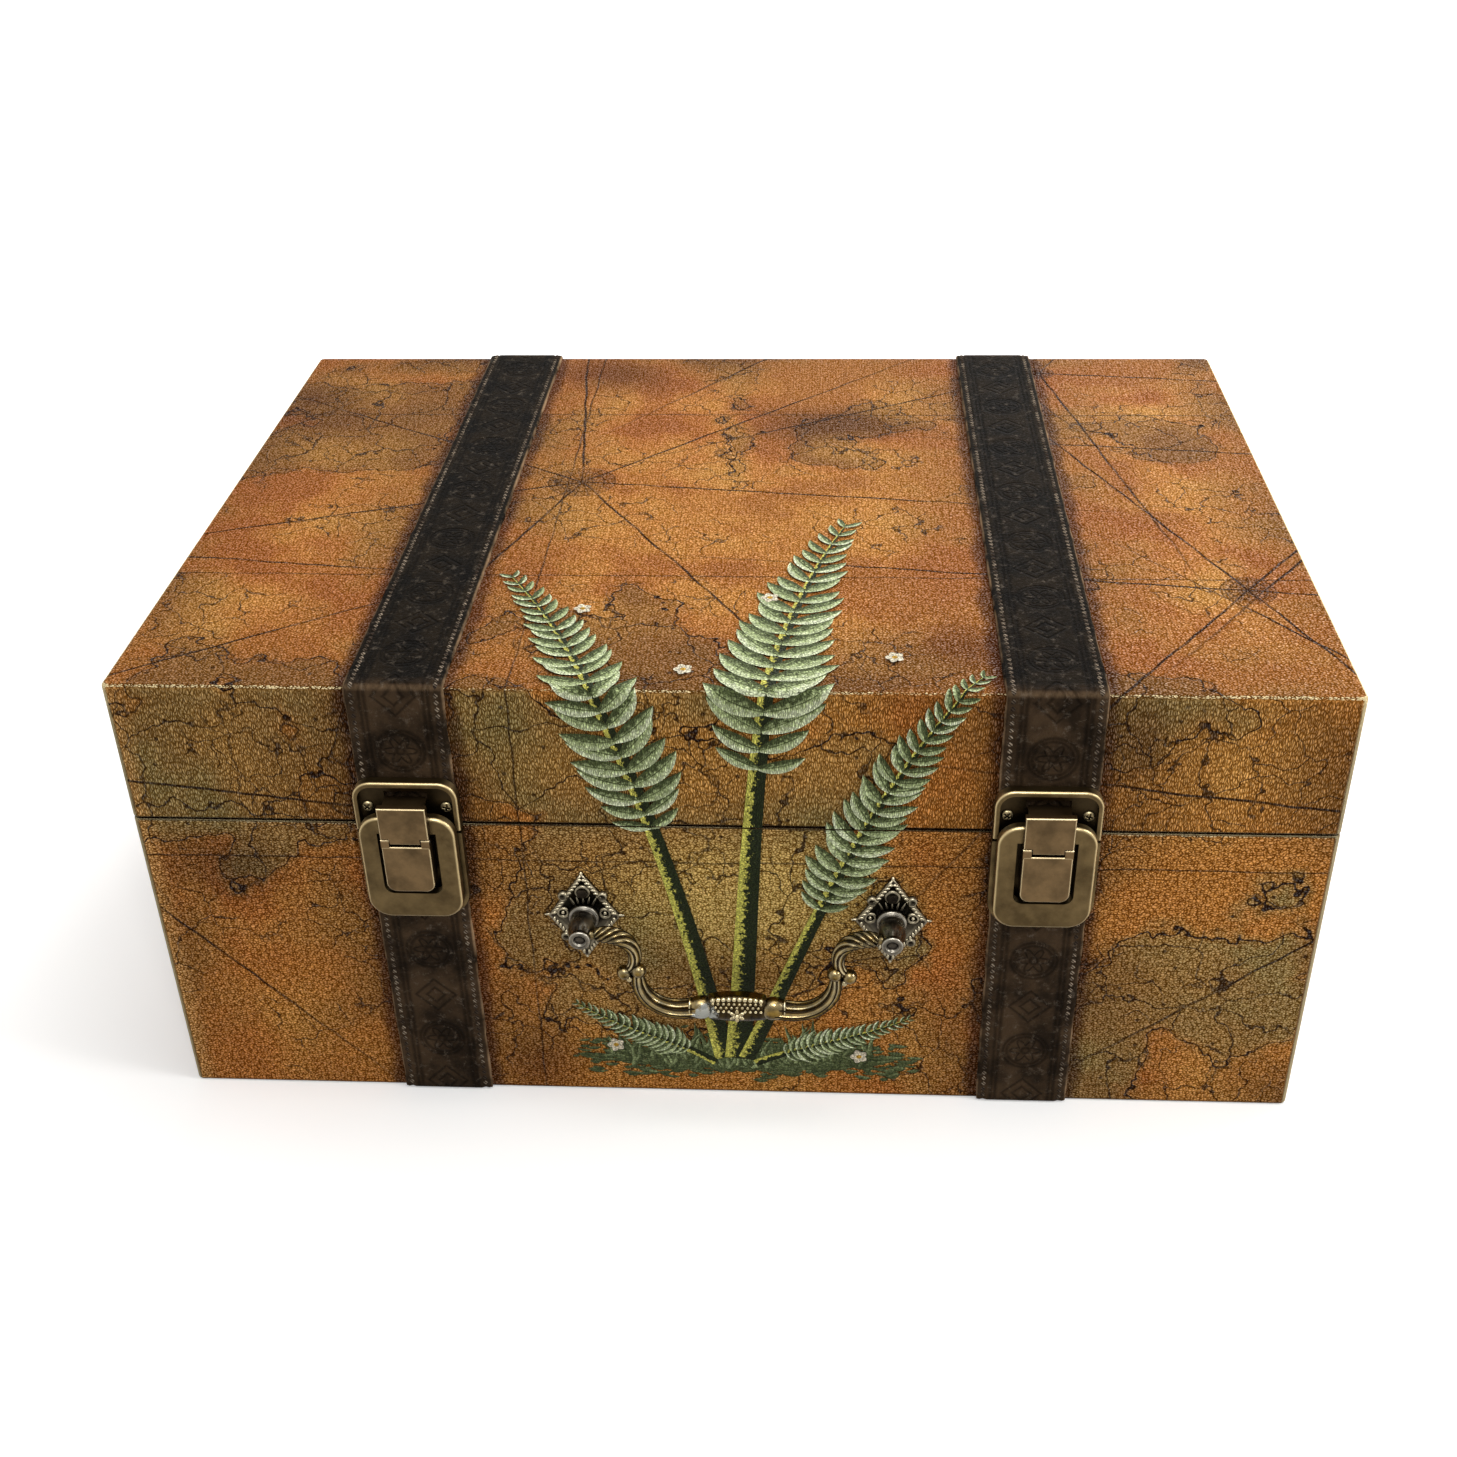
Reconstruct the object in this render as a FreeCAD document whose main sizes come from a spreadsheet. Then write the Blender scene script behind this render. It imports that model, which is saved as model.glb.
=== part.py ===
import FreeCAD
import Part
import Sketcher
import os
import re

# A keepsake chest shaped like a small case: a boarded body and lid covered in leatherette,
# four leather strap runs, two toggle latches, a cast pull handle and two butt hinges.
# Millimetres, +Z up, front towards -Y. The origin is the centre of the underside.

# Driving dimensions
SIZES = {
    # box
    "box_width": 366.0,
    "box_depth": 262.0,
    "box_height": 158.0,
    "lid_height": 48.0,
    "seam_gap": 0.5,
    "wall_board": 8.0,
    "floor_board": 5.0,
    "top_board": 6.0,
    "rabbet_depth": 3.0,
    "cover_thickness": 1.0,
    "cover_corner": 2.0,
    "cover_edge": 1.2,
    "cover_rim_edge": 0.6,
    "cover_turn_in": 18.0,
    "lining_thickness": 0.8,
    "lining_below_rim": 1.0,
    # straps
    "strap_width": 30.0,
    "strap_thickness": 1.6,
    "strap_share": 0.5232,
    "strap_end": 0.8,
    # fasteners
    "fit_gap": 0.05,
    "screw_radius": 1.2,
    "screw_head_radius": 1.85,
    "screw_head_crown": 1.2,
    "screw_head_height": 0.9,
    "screw_bite": 6.0,
    "drill_allowance": 0.5,
    # latch plates
    "plate_sheet": 1.2,
    "plate_margin": 1.2,
    "plate_seam_gap": 0.6,
    "keeper_depth": 3.4,
    "keeper_rim": 1.6,
    "keeper_corner": 6.0,
    "keeper_edge": 0.9,
    "keeper_brow": 2.6,
    "keeper_screw_rise": 8.0,
    "keeper_screw_inset": 0.5,
    "base_rim": 1.4,
    "base_depth": 3.0,
    "base_screw_drop": 9.0,
    "base_screw_pitch": 15.0,
    # latch ring
    "ring_gap": 0.4,
    "ring_thickness": 3.0,
    "ring_arm": 5.8,
    "ring_band": 9.4,
    "ring_crown": 3.7,
    "ring_shoulder": 1.9,
    "ring_corner": 7.0,
    "ring_edge": 1.2,
    "window_corner": 3.0,
    "ring_foot_radius": 2.0,
    "ring_foot_drop": 4.0,
    # latch lever
    "lever_width": 14.8,
    "lever_length": 16.8,
    "lever_thickness": 2.3,
    "lever_gap": 0.3,
    "lever_slit": 1.6,
    "lever_wall": 1.4,
    "lever_end_gap": 2.6,
    "lever_corner": 3.0,
    "lever_edge": 0.6,
    "lever_pivot_rise": 3.5,
    "lever_pin_radius": 0.75,
    "lever_pin_seat": 6.0,
    "cheek_thickness": 1.4,
    "cheek_span": 9.2,
    "cheek_root": 7.0,
    "cheek_gap": 0.4,
    "eye_inset": 0.2,
    # latch claw
    "joint_drop": 1.6,
    "knuckle_inset": 0.1,
    "knuckle_gap": 0.3,
    "knuckle_width": 9.2,
    "claw_pin_radius": 0.55,
    "claw_clear": 3.2,
    "lip_thickness": 2.0,
    "lip_width": 12.4,
    "lip_gap": 0.4,
    "slot_gap": 0.4,
    "slot_above": 1.0,
    # pull handle
    "handle_spacing": 96.0,
    "handle_drop": 34.3,
    "handle_offset": 3.0,
    "rosette_width": 22.3,
    "rosette_height": 33.2,
    "rosette_thickness": 2.0,
    "rosette_edge": 0.6,
    "nail_rise": 9.5,
    "nail_radius": 0.7,
    "nail_head_radius": 1.6,
    "nail_head_height": 0.7,
    "post_flange_radius": 4.8,
    "post_flange_height": 1.0,
    "post_waist_radius": 3.7,
    "post_belly_radius": 4.3,
    "post_neck_radius": 3.0,
    "post_ring_radius": 3.3,
    "post_ring_height": 1.1,
    "post_cup_radius": 1.8,
    "post_cup_depth": 1.2,
    "post_belly_out": 5.6,
    "pivot_out": 10.5,
    "pivot_to_neck": 2.4,
    "bolt_radius": 2.0,
    "bolt_head_radius": 3.6,
    "bolt_head_height": 2.4,
    "bolt_stop": 0.8,
    "washer_radius": 5.0,
    "washer_thickness": 1.0,
    # bail
    "bail_pin_radius": 1.5,
    "bail_pin_length": 4.0,
    "bail_root_radius": 2.2,
    "bail_root_neck": 2.5,
    "bail_side_gap": 0.4,
    "bail_wire_radius": 2.0,
    "bail_root_length": 3.4,
    "scroll_radius": 8.3,
    "scroll_sweep": 145.0,
    "scroll_ball_radius": 2.6,
    "arm_share": 0.1292,
    "arm_start": 16.0,
    "arm_join": 122.0,
    "arm_step_in": 2.3,
    "arm_step_down": 1.1,
    "arm_ball_radius": 2.5,
    "arm_end_radius": 2.3,
    "bail_lap": 0.4,
    "collar_radius": 3.4,
    "collar_throat": 2.8,
    "collar_rise": 0.7,
    "collar_overlap": 1.1,
    "plaque_share": 0.1938,
    "plaque_height": 10.8,
    "plaque_thickness": 5.6,
    "plaque_edge": 2.2,
    "plaque_rise": 1.6,
    # hinges
    "hinge_share": 0.765,
    "hinge_width": 30.0,
    "hinge_leaf": 14.0,
    "hinge_sheet": 1.2,
    "hinge_barrel_radius": 2.5,
    "hinge_barrel_gap": 0.4,
    "hinge_pin_radius": 1.1,
    "hinge_knuckle": 9.8,
    "hinge_knuckle_gap": 0.3,
    "hinge_turn_gap": 0.3,
    "hinge_screw_spacing": 20.0,
    "hinge_screw_rise": 8.8,
}

# Places and sizes that follow from the driving dimensions
PLACES = {
    "half_width": "box_width / 2",
    "half_depth": "box_depth / 2",
    "seam": "box_height - lid_height",
    "body_top": "seam - seam_gap / 2",
    "lid_bottom": "seam + seam_gap / 2",
    # straps and hinges stand at a share of the half width from the middle
    "strap_centre": "strap_share * half_width",
    "hinge_centre": "hinge_share * half_width",
    "board_x": "half_width - cover_thickness",
    "board_y": "half_depth - cover_thickness",
    "inside_x": "board_x - wall_board",
    "inside_y": "board_y - wall_board",
    "floor_top": "cover_thickness + floor_board",
    "roof_low": "box_height - cover_thickness - top_board",
    "lid_board_low": "lid_bottom + cover_thickness",
    "body_board_high": "body_top - cover_thickness",
    # distances out from the front face, all on the straps
    "plate_face": "strap_thickness + plate_sheet",
    "ring_back": "strap_thickness + keeper_depth + ring_gap",
    "ring_front": "ring_back + ring_thickness",
    "lever_back": "ring_front + lever_gap",
    "lever_front": "lever_back + lever_thickness",
    "lever_inner": "lever_back - ring_thickness + eye_inset",
    "lever_pivot_out": "ring_back + ring_thickness / 2",
    "eye_radius": "ring_thickness / 2 - eye_inset",
    "claw_pivot_out": "lever_back + lever_thickness / 2",
    "knuckle_radius": "lever_thickness / 2 - knuckle_inset",
    "knuckle_clear": "knuckle_radius + knuckle_gap",
    "lip_tip": "plate_face + lip_gap",
    # heights of the latch above the seam
    "ring_top": "lever_pivot_rise + ring_crown",
    "window_top": "lever_pivot_rise - ring_shoulder",
    "lever_low": "-(joint_drop + lever_length)",
    "window_low": "lever_low - lever_end_gap",
    "ring_low": "window_low - ring_band",
    "claw_top": "ring_top + claw_clear + lip_thickness",
    "slot_low": "claw_top - lip_thickness - slot_gap",
    "slot_high": "claw_top + slot_above",
    "keeper_top": "slot_high + keeper_brow + keeper_rim",
    # widths of the latch
    "window_half": "lever_width / 2 + lever_slit",
    "ring_half": "window_half + ring_arm",
    "plate_half": "ring_half + plate_margin",
    "notch_half": "cheek_span / 2 + cheek_gap",
    "ear_inner": "knuckle_width / 2 + knuckle_gap",
    "keeper_screw_x": "plate_half - keeper_rim - screw_head_radius - keeper_screw_inset",
    # handle
    "handle_height": "seam - handle_drop",
    "arm_radius": "arm_share * handle_spacing",
    "plaque_length": "plaque_share * handle_spacing",
    "bail_scroll_x": "handle_spacing / 2 - post_belly_radius - bail_side_gap - bail_root_length",
    "arm_start_x": "bail_scroll_x + scroll_radius * cos(90 + arm_join) - arm_step_in",
    "arm_start_z": "scroll_radius * (sin(90 + arm_join) - 1) - arm_step_down",
    "arm_x": "arm_start_x - arm_radius * cos(arm_start)",
    "arm_z": "arm_start_z - arm_radius * sin(arm_start)",
    "bail_bottom": "arm_z - arm_radius",
    "collar_x": "plaque_length / 2 + collar_radius - collar_overlap",
    "post_neck_out": "pivot_out + pivot_to_neck",
    "post_end": "post_neck_out + post_ring_height",
    "lining_face": "inside_y - lining_thickness",
    "bolt_tip": "pivot_out - bail_pin_radius - bolt_stop",
    # hinge
    "hinge_axis": "hinge_barrel_radius + hinge_barrel_gap",
    "hinge_clear": "hinge_barrel_radius + hinge_turn_gap",
}

doc = FreeCAD.newDocument("Chest")
sheet = doc.addObject("Spreadsheet::Sheet", "Sizes")
for row, (size_name, size) in enumerate(SIZES.items(), start=1):
    sheet.set("A%d" % row, size_name)
    sheet.set("B%d" % row, str(size))
    sheet.setAlias("B%d" % row, size_name)
doc.recompute()

nodes = []
ALONG_X = FreeCAD.Rotation(FreeCAD.Vector(0, 1, 0), 90)
OUT_OF_FRONT = FreeCAD.Rotation(FreeCAD.Vector(1, 0, 0), 90)
OUT_OF_BACK = FreeCAD.Rotation(FreeCAD.Vector(1, 0, 0), -90)
HALF_TURN = FreeCAD.Rotation(FreeCAD.Vector(0, 0, 1), 180)
SIDES = {"left": "-1", "right": "1"}


def ex(text):
    """Write sizes in words as an expression on the sheet's cells."""
    def word(found):
        name = found.group(0)
        if name in PLACES:
            return "(" + ex(PLACES[name]) + ")"
        return "Sizes." + name if name in SIZES else name
    return re.sub(r"[a-z_]+", word, str(text))


def value(text):
    """The number that an expression gives."""
    return sheet.evalExpression(ex(text))


def bind(item, **sizes):
    """Tie properties of a document object to expressions."""
    for prop, text in sizes.items():
        item.setExpression(prop, ex(text))
    return item


def place(item, x="0", y="0", z="0"):
    """Tie the place of a document object to expressions."""
    for axis, text in zip("xyz", (x, y, z)):
        item.setExpression("Placement.Base." + axis, ex(text))
    return item


def node(item, name):
    """Keep an object as one finished piece under its own name."""
    item.Label = name
    nodes.append(item)
    return item


# Primitives and booleans

def block(name, x, y, z):
    """Box between pairs of coordinates."""
    item = doc.addObject("Part::Box", name)
    spans = ["(%s) - (%s)" % (high, low) for low, high in (x, y, z)]
    bind(item, Length=spans[0], Width=spans[1], Height=spans[2])
    return place(item, x[0], y[0], z[0])


def cylinder(name, radius, length, turn, x, y, z):
    """Cylinder from a point, along the direction that the turn gives."""
    item = doc.addObject("Part::Cylinder", name)
    item.Placement = FreeCAD.Placement(FreeCAD.Vector(), turn)
    bind(item, Radius=radius, Height=length)
    return place(item, x, y, z)


def ball(name, radius, x, y, z):
    """Sphere about a point."""
    item = doc.addObject("Part::Sphere", name)
    bind(item, Radius=radius)
    return place(item, x, y, z)


def group(name, items):
    """Several solids as one object."""
    item = doc.addObject("Part::Compound", name)
    item.Links = items
    return item


def fuse(name, items):
    """One solid of several that meet."""
    item = doc.addObject("Part::MultiFuse", name)
    item.Shapes = items
    return item


def join(name, items):
    """One solid of several, fused one after the other in their order along the piece."""
    whole = items[0]
    for i, item in enumerate(items[1:]):
        step = doc.addObject("Part::Fuse", "%s_%d" % (name, i))
        step.Base = whole
        step.Tool = item
        whole = step
    return whole


def cut(name, base, tools):
    """The base with every tool taken out of it."""
    item = doc.addObject("Part::Cut", name)
    item.Base = base
    item.Tool = tools[0] if len(tools) == 1 else group(name + "_tools", tools)
    return item


# Sketched bodies

def body(name, x="0", y="0", z="0"):
    """Empty body at a place."""
    return place(doc.addObject("PartDesign::Body", name), x, y, z)


def sketch(part, plane, offset="0"):
    """Sketch on one of the body's own planes, set off along its normal."""
    item = part.newObject("Sketcher::SketchObject", part.Name + "_sketch")
    support = [f for f in part.Origin.OriginFeatures if f.Role == plane + "_Plane"][0]
    item.AttachmentSupport = [(support, "")]
    item.MapMode = "FlatFace"
    item.setExpression("AttachmentOffset.Base.z", ex(offset))
    return item


def locate(profile, kind, geometry, point, text):
    """Dimension a sketch point from the origin, towards its own side."""
    distance = value(text)
    if abs(distance) < 1e-9:
        axis = -2 if kind == "DistanceX" else -1
        profile.addConstraint(Sketcher.Constraint("PointOnObject", geometry, point, axis))
        return
    ends = (-1, 1, geometry, point) if distance > 0 else (geometry, point, -1, 1)
    index = profile.addConstraint(Sketcher.Constraint(kind, *ends, abs(distance)))
    sign = "" if distance > 0 else "-"
    profile.setExpression("Constraints[%d]" % index, ex("%s(%s)" % (sign, text)))


def outline(profile, points):
    """Closed straight-sided outline through dimensioned points."""
    first = profile.GeometryCount
    corners = [FreeCAD.Vector(value(x), value(y), 0) for x, y in points]
    count = len(points)
    for i in range(count):
        profile.addGeometry(Part.LineSegment(corners[i], corners[(i + 1) % count]))
    for i in range(count):
        after = first + (i + 1) % count
        profile.addConstraint(Sketcher.Constraint("Coincident", first + i, 2, after, 1))
    for i, (x, y) in enumerate(points):
        locate(profile, "DistanceX", first + i, 1, x)
        locate(profile, "DistanceY", first + i, 1, y)
    return profile


def oblong(profile, half, low, high):
    """Rectangle centred on the sketch's upright axis."""
    minus = "-(%s)" % half
    return outline(profile, [(minus, low), (half, low), (half, high), (minus, high)])


def circle(profile, x, y, radius):
    """Dimensioned circle."""
    spot = FreeCAD.Vector(value(x), value(y), 0)
    geometry = profile.addGeometry(Part.Circle(spot, FreeCAD.Vector(0, 0, 1), value(radius)))
    locate(profile, "DistanceX", geometry, 3, x)
    locate(profile, "DistanceY", geometry, 3, y)
    index = profile.addConstraint(Sketcher.Constraint("Radius", geometry, value(radius)))
    profile.setExpression("Constraints[%d]" % index, ex(radius))
    return profile


def pad(part, profile, length):
    """Solid from a sketch along its normal."""
    item = part.newObject("PartDesign::Pad", part.Name + "_pad")
    item.Profile = profile
    return bind(item, Length=length)


def pocket(part, profile, depth):
    """Cut from a sketch against its normal, and make sure that it cut."""
    doc.recompute()
    before = part.Shape.Volume
    item = part.newObject("PartDesign::Pocket", part.Name + "_pocket")
    item.Profile = profile
    bind(item, Length=depth)
    doc.recompute()
    if not part.Shape.Volume < before:
        raise RuntimeError("pocket cuts nothing in " + part.Name)
    return item


def fillet(part, wanted, radius):
    """Round the edges of the body's last feature that a test picks."""
    doc.recompute()
    tip = part.Tip
    names = ["Edge%d" % (i + 1) for i, edge in enumerate(tip.Shape.Edges) if wanted(edge)]
    if not names:
        raise RuntimeError("no edge to round on " + part.Name)
    item = part.newObject("PartDesign::Fillet", part.Name + "_fillet")
    item.Base = (tip, names)
    return bind(item, Radius=radius)


def straight(edge, axis):
    """True for a straight edge along one axis."""
    line = edge.Curve.TypeId == "Part::GeomLine"
    return line and abs(edge.Curve.Direction[axis]) > 0.999


def flat_at(edge, axis, level):
    """True for an edge that lies at one level of an axis."""
    return all(abs(v.Point[axis] - level) < 1e-6 for v in edge.Vertexes)


# Fasteners

def screw(name, x, y, z, turn, reach):
    """Round-headed wood screw from the seat at its head, with its drill hole."""
    outward = "-1" if turn is OUT_OF_FRONT else "1"
    inner = "(%s) - (%s) * (%s)" % (y, outward, reach)
    shank = cylinder(name + "_shank", "screw_radius", reach, turn, x, inner, z)
    head = doc.addObject("Part::Cone", name + "_head")
    head.Placement = FreeCAD.Placement(FreeCAD.Vector(), turn)
    bind(head, Radius1="screw_head_radius", Radius2="screw_head_crown", Height="screw_head_height")
    place(head, x, y, z)
    deep = "(%s) + drill_allowance" % reach
    start = "(%s) - (%s) * (%s)" % (y, outward, deep)
    hole = cylinder(name + "_hole", "screw_radius + fit_gap", deep, turn, x, start, z)
    return fuse(name, [shank, head]), hole


def screws_at(name, spots, y, turn, reach):
    """Screws of one kind at several places: the group and the list of their holes."""
    made = [screw("%s_%d" % (name, i), x, y, z, turn, reach) for i, (x, z) in enumerate(spots)]
    node(group(name, [one for one, hole in made]), name)
    return [hole for one, hole in made]


def latch_screws_and_holes():
    """Screws of the keepers on the lid and of the latch bases on the body."""
    reach = "plate_face + cover_thickness + screw_bite"
    seat = "-half_depth - plate_face"
    keeper_spots = []
    base_spots = []
    for sign in SIDES.values():
        for end in ("-1", "1"):
            spot = "%s * strap_centre + %s * keeper_screw_x" % (sign, end)
            keeper_spots.append((spot, "seam + keeper_screw_rise"))
        for step in ("0", "1"):
            drop = "seam - base_screw_drop - %s * base_screw_pitch" % step
            base_spots.append(("%s * strap_centre" % sign, drop))
    keeper = screws_at("keeper_screws", keeper_spots, seat, OUT_OF_FRONT, reach)
    base = screws_at("latch_screws", base_spots, seat, OUT_OF_FRONT, reach)
    return keeper, base


def hinge_screws_and_holes():
    """Screws of the hinge leaves on the back of the body and of the lid."""
    reach = "hinge_sheet + cover_thickness + screw_bite"
    holes = {}
    for leaf, way in (("body", "-1"), ("lid", "1")):
        spots = []
        for sign in SIDES.values():
            for end in ("-1", "1"):
                x = "%s * hinge_centre + %s * hinge_screw_spacing / 2" % (sign, end)
                spots.append((x, "seam + %s * hinge_screw_rise" % way))
        name = "hinge_%s_screws" % leaf
        holes[leaf] = screws_at(name, spots, "half_depth + hinge_sheet", OUT_OF_BACK, reach)
    return holes["body"], holes["lid"]


def handle_bolts_and_holes():
    """Bolts, washers and nails of the pull handle, with the holes that they pass through."""
    bolts = []
    washers = []
    nails = []
    bolt_holes = []
    nail_holes = []
    head_seat = "-lining_face + washer_thickness"
    for side, sign in SIDES.items():
        x = "handle_offset + %s * handle_spacing / 2" % sign
        z = "handle_height"
        name = side + "_bolt"
        reach = "half_depth + bolt_tip - lining_face + washer_thickness"
        shank = cylinder(name + "_shank", "bolt_radius", reach, OUT_OF_FRONT, x, head_seat, z)
        rear = head_seat + " + bolt_head_height"
        head = cylinder(name + "_head", "bolt_head_radius", "bolt_head_height", OUT_OF_FRONT, x, rear, z)
        bolts.append(fuse(name, [shank, head]))
        bolt_holes.append(cylinder(name + "_hole", "bolt_radius + fit_gap", reach + " + fit_gap",
                                   OUT_OF_FRONT, x, head_seat, z))
        disc = cylinder(side + "_washer_disc", "washer_radius", "washer_thickness",
                        OUT_OF_FRONT, x, head_seat, z)
        washers.append(cut(side + "_washer", disc, [bolt_holes[-1]]))
        rise = "handle_height + nail_rise"
        nail = side + "_nail"
        deep = "rosette_thickness + cover_thickness + screw_bite"
        inner = "-half_depth - rosette_thickness + " + deep
        point = cylinder(nail + "_shank", "nail_radius", deep, OUT_OF_FRONT, x, inner, rise)
        cap = cylinder(nail + "_head", "nail_head_radius", "nail_head_height", OUT_OF_FRONT,
                       x, "-half_depth - rosette_thickness", rise)
        nails.append(fuse(nail, [point, cap]))
        nail_holes.append(cylinder(nail + "_hole", "nail_radius + fit_gap", deep + " + drill_allowance",
                                   OUT_OF_FRONT, x, inner + " + drill_allowance", rise))
    node(group("handle_bolts", bolts), "handle_bolts")
    node(group("handle_washers", washers), "handle_washers")
    node(group("rosette_nails", nails), "rosette_nails")
    return bolt_holes, nail_holes


# Boards, cover and lining

def walls(name, low, high, front_holes, back_holes):
    """Four wall boards; front and back are rabbeted for the ends of the side boards."""
    for wall, near, far, holes in (("front", "-board_y", "-inside_y", front_holes),
                                   ("back", "inside_y", "board_y", back_holes)):
        label = "%s_%s_board" % (name, wall)
        plank = block(label + "_plank", ("-board_x", "board_x"), (near, far), (low, high))
        deep = ("-inside_y - rabbet_depth", "-inside_y") if wall == "front" else \
            ("inside_y", "inside_y + rabbet_depth")
        rabbets = [block(label + "_rabbet_left", ("-board_x", "-inside_x"), deep, (low, high)),
                   block(label + "_rabbet_right", ("inside_x", "board_x"), deep, (low, high))]
        node(cut(label, plank, rabbets + holes), label)
    span = ("-inside_y - rabbet_depth", "inside_y + rabbet_depth")
    left = block(name + "_left_board", ("-board_x", "-inside_x"), span, (low, high))
    node(left, name + "_left_board")
    right = block(name + "_right_board", ("inside_x", "board_x"), span, (low, high))
    node(right, name + "_right_board")


def skin_block(name, low, high, rim):
    """Outside of a cover: a block with rounded corners, closed edges and a softer rim."""
    part = body(name)
    profile = sketch(part, "XY", low)
    corners = [("-half_width", "-half_depth"), ("half_width", "-half_depth"),
               ("half_width", "half_depth"), ("-half_width", "half_depth")]
    pad(part, outline(profile, corners), "(%s) - (%s)" % (high, low))
    fillet(part, lambda edge: straight(edge, 2), "cover_corner")
    closed = low if rim == high else high
    fillet(part, lambda edge: flat_at(edge, 2, value(closed)), "cover_edge")
    fillet(part, lambda edge: flat_at(edge, 2, value(rim)), "cover_rim_edge")
    return part


def inner_span(axis):
    """Across the inside of the walls, along X or Y."""
    return ("-inside_" + axis, "inside_" + axis)


def body_box(front_holes, back_holes, cover_holes, lining_holes):
    """The lower box: floor, walls, cover, sheet underneath and lining."""
    floor = block("body_floor_board", inner_span("x"), inner_span("y"), ("cover_thickness", "floor_top"))
    node(floor, "body_floor_board")
    walls("body", "cover_thickness", "body_board_high", front_holes, back_holes)

    skin = skin_block("body_skin", "0", "body_top", "body_top")
    boards = block("body_boards", ("-board_x", "board_x"), ("-board_y", "board_y"),
                   ("cover_thickness", "body_board_high"))
    mouth = block("body_mouth", inner_span("x"), inner_span("y"), ("body_board_high", "body_top"))
    under_x = ("-board_x + cover_turn_in", "board_x - cover_turn_in")
    under_y = ("-board_y + cover_turn_in", "board_y - cover_turn_in")
    window = block("body_window", under_x, under_y, ("0", "cover_thickness"))
    inside = fuse("body_cover_inside", [boards, mouth, window])
    node(cut("body_cover", skin, [inside] + cover_holes), "body_cover")
    node(block("body_underlay", under_x, under_y, ("0", "cover_thickness")), "body_underlay")

    top = "body_top - lining_below_rim"
    sheet_block = block("body_lining_block", inner_span("x"), inner_span("y"), ("floor_top", top))
    room = block("body_room", ("-inside_x + lining_thickness", "inside_x - lining_thickness"),
                 ("-lining_face", "lining_face"), ("floor_top + lining_thickness", top))
    node(cut("body_lining", sheet_block, [room] + lining_holes), "body_lining")


def lid_box(front_holes, back_holes, cover_holes):
    """The lid: top board on four walls, cover and lining."""
    top = block("lid_top_board", ("-board_x", "board_x"), ("-board_y", "board_y"),
                ("roof_low", "box_height - cover_thickness"))
    node(top, "lid_top_board")
    walls("lid", "lid_board_low", "roof_low", front_holes, back_holes)

    skin = skin_block("lid_skin", "lid_bottom", "box_height", "lid_bottom")
    boards = block("lid_boards", ("-board_x", "board_x"), ("-board_y", "board_y"),
                   ("lid_board_low", "box_height - cover_thickness"))
    mouth = block("lid_mouth", inner_span("x"), inner_span("y"), ("lid_bottom", "lid_board_low"))
    inside = fuse("lid_cover_inside", [boards, mouth])
    node(cut("lid_cover", skin, [inside] + cover_holes), "lid_cover")

    low = "lid_bottom + lining_below_rim"
    sheet_block = block("lid_lining_block", inner_span("x"), inner_span("y"), (low, "roof_low"))
    room = block("lid_room", ("-inside_x + lining_thickness", "inside_x - lining_thickness"),
                 ("-lining_face", "lining_face"), (low, "roof_low - lining_thickness"))
    node(cut("lid_lining", sheet_block, [room]), "lid_lining")


# Straps

def lid_strap(side, sign, holes):
    """One leather strip bent over the front, the top and the back of the lid."""
    name = side + "_lid_strap"
    part = body(name + "_strip", x="%s * strap_centre - strap_width / 2" % sign)
    low = "lid_bottom + strap_end"
    outer = "half_depth + strap_thickness"
    crest = "box_height + strap_thickness"
    profile = sketch(part, "YZ")
    outline(profile, [("-(%s)" % outer, low), ("-half_depth", low), ("-half_depth", "box_height"),
                      ("half_depth", "box_height"), ("half_depth", low), (outer, low),
                      (outer, crest), ("-(%s)" % outer, crest)])
    pad(part, profile, "strap_width")
    for height, radius in (("box_height", "cover_edge"), (crest, "cover_edge + strap_thickness")):
        level = value(height)
        fillet(part, lambda edge: straight(edge, 0) and flat_at(edge, 2, level), radius)
    node(cut(name, part, holes), name)


def body_strap(name, sign, near, far, holes):
    """Straight leather strip on the front or the back of the body."""
    across = ("%s * strap_centre - strap_width / 2" % sign, "%s * strap_centre + strap_width / 2" % sign)
    strip = block(name + "_strip", across, (near, far), ("strap_end", "body_top - strap_end"))
    node(cut(name, strip, holes) if holes else strip, name)


# Latches

def latch_body(name, sign):
    """Body whose own origin is the latch's centre on the front face at the seam."""
    return body(name, "%s * strap_centre" % sign, "-half_depth", "seam")


def tray(name, sign, low, high, closed, depth, rim, corner):
    """Shallow tray on a strap, with round corners at its closed end and open at the seam."""
    part = latch_body(name + "_tray", sign)
    pad(part, oblong(sketch(part, "XZ", "strap_thickness"), "plate_half", low, high), depth)
    level = value(closed)
    fillet(part, lambda edge: straight(edge, 1) and flat_at(edge, 2, level), corner)
    hollow = latch_body(name + "_hollow", sign)
    inner_low = low if closed == high else "(%s) + (%s)" % (low, rim)
    inner_high = "(%s) - (%s)" % (high, rim) if closed == high else high
    profile = sketch(hollow, "XZ", "plate_face")
    pad(hollow, oblong(profile, "plate_half - (%s)" % rim, inner_low, inner_high),
        "strap_thickness + (%s) - plate_face" % depth)
    inner_level = value(inner_high if closed == high else inner_low)
    fillet(hollow, lambda edge: straight(edge, 1) and flat_at(edge, 2, inner_level),
           "(%s) - (%s)" % (corner, rim))
    return part, hollow


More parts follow.
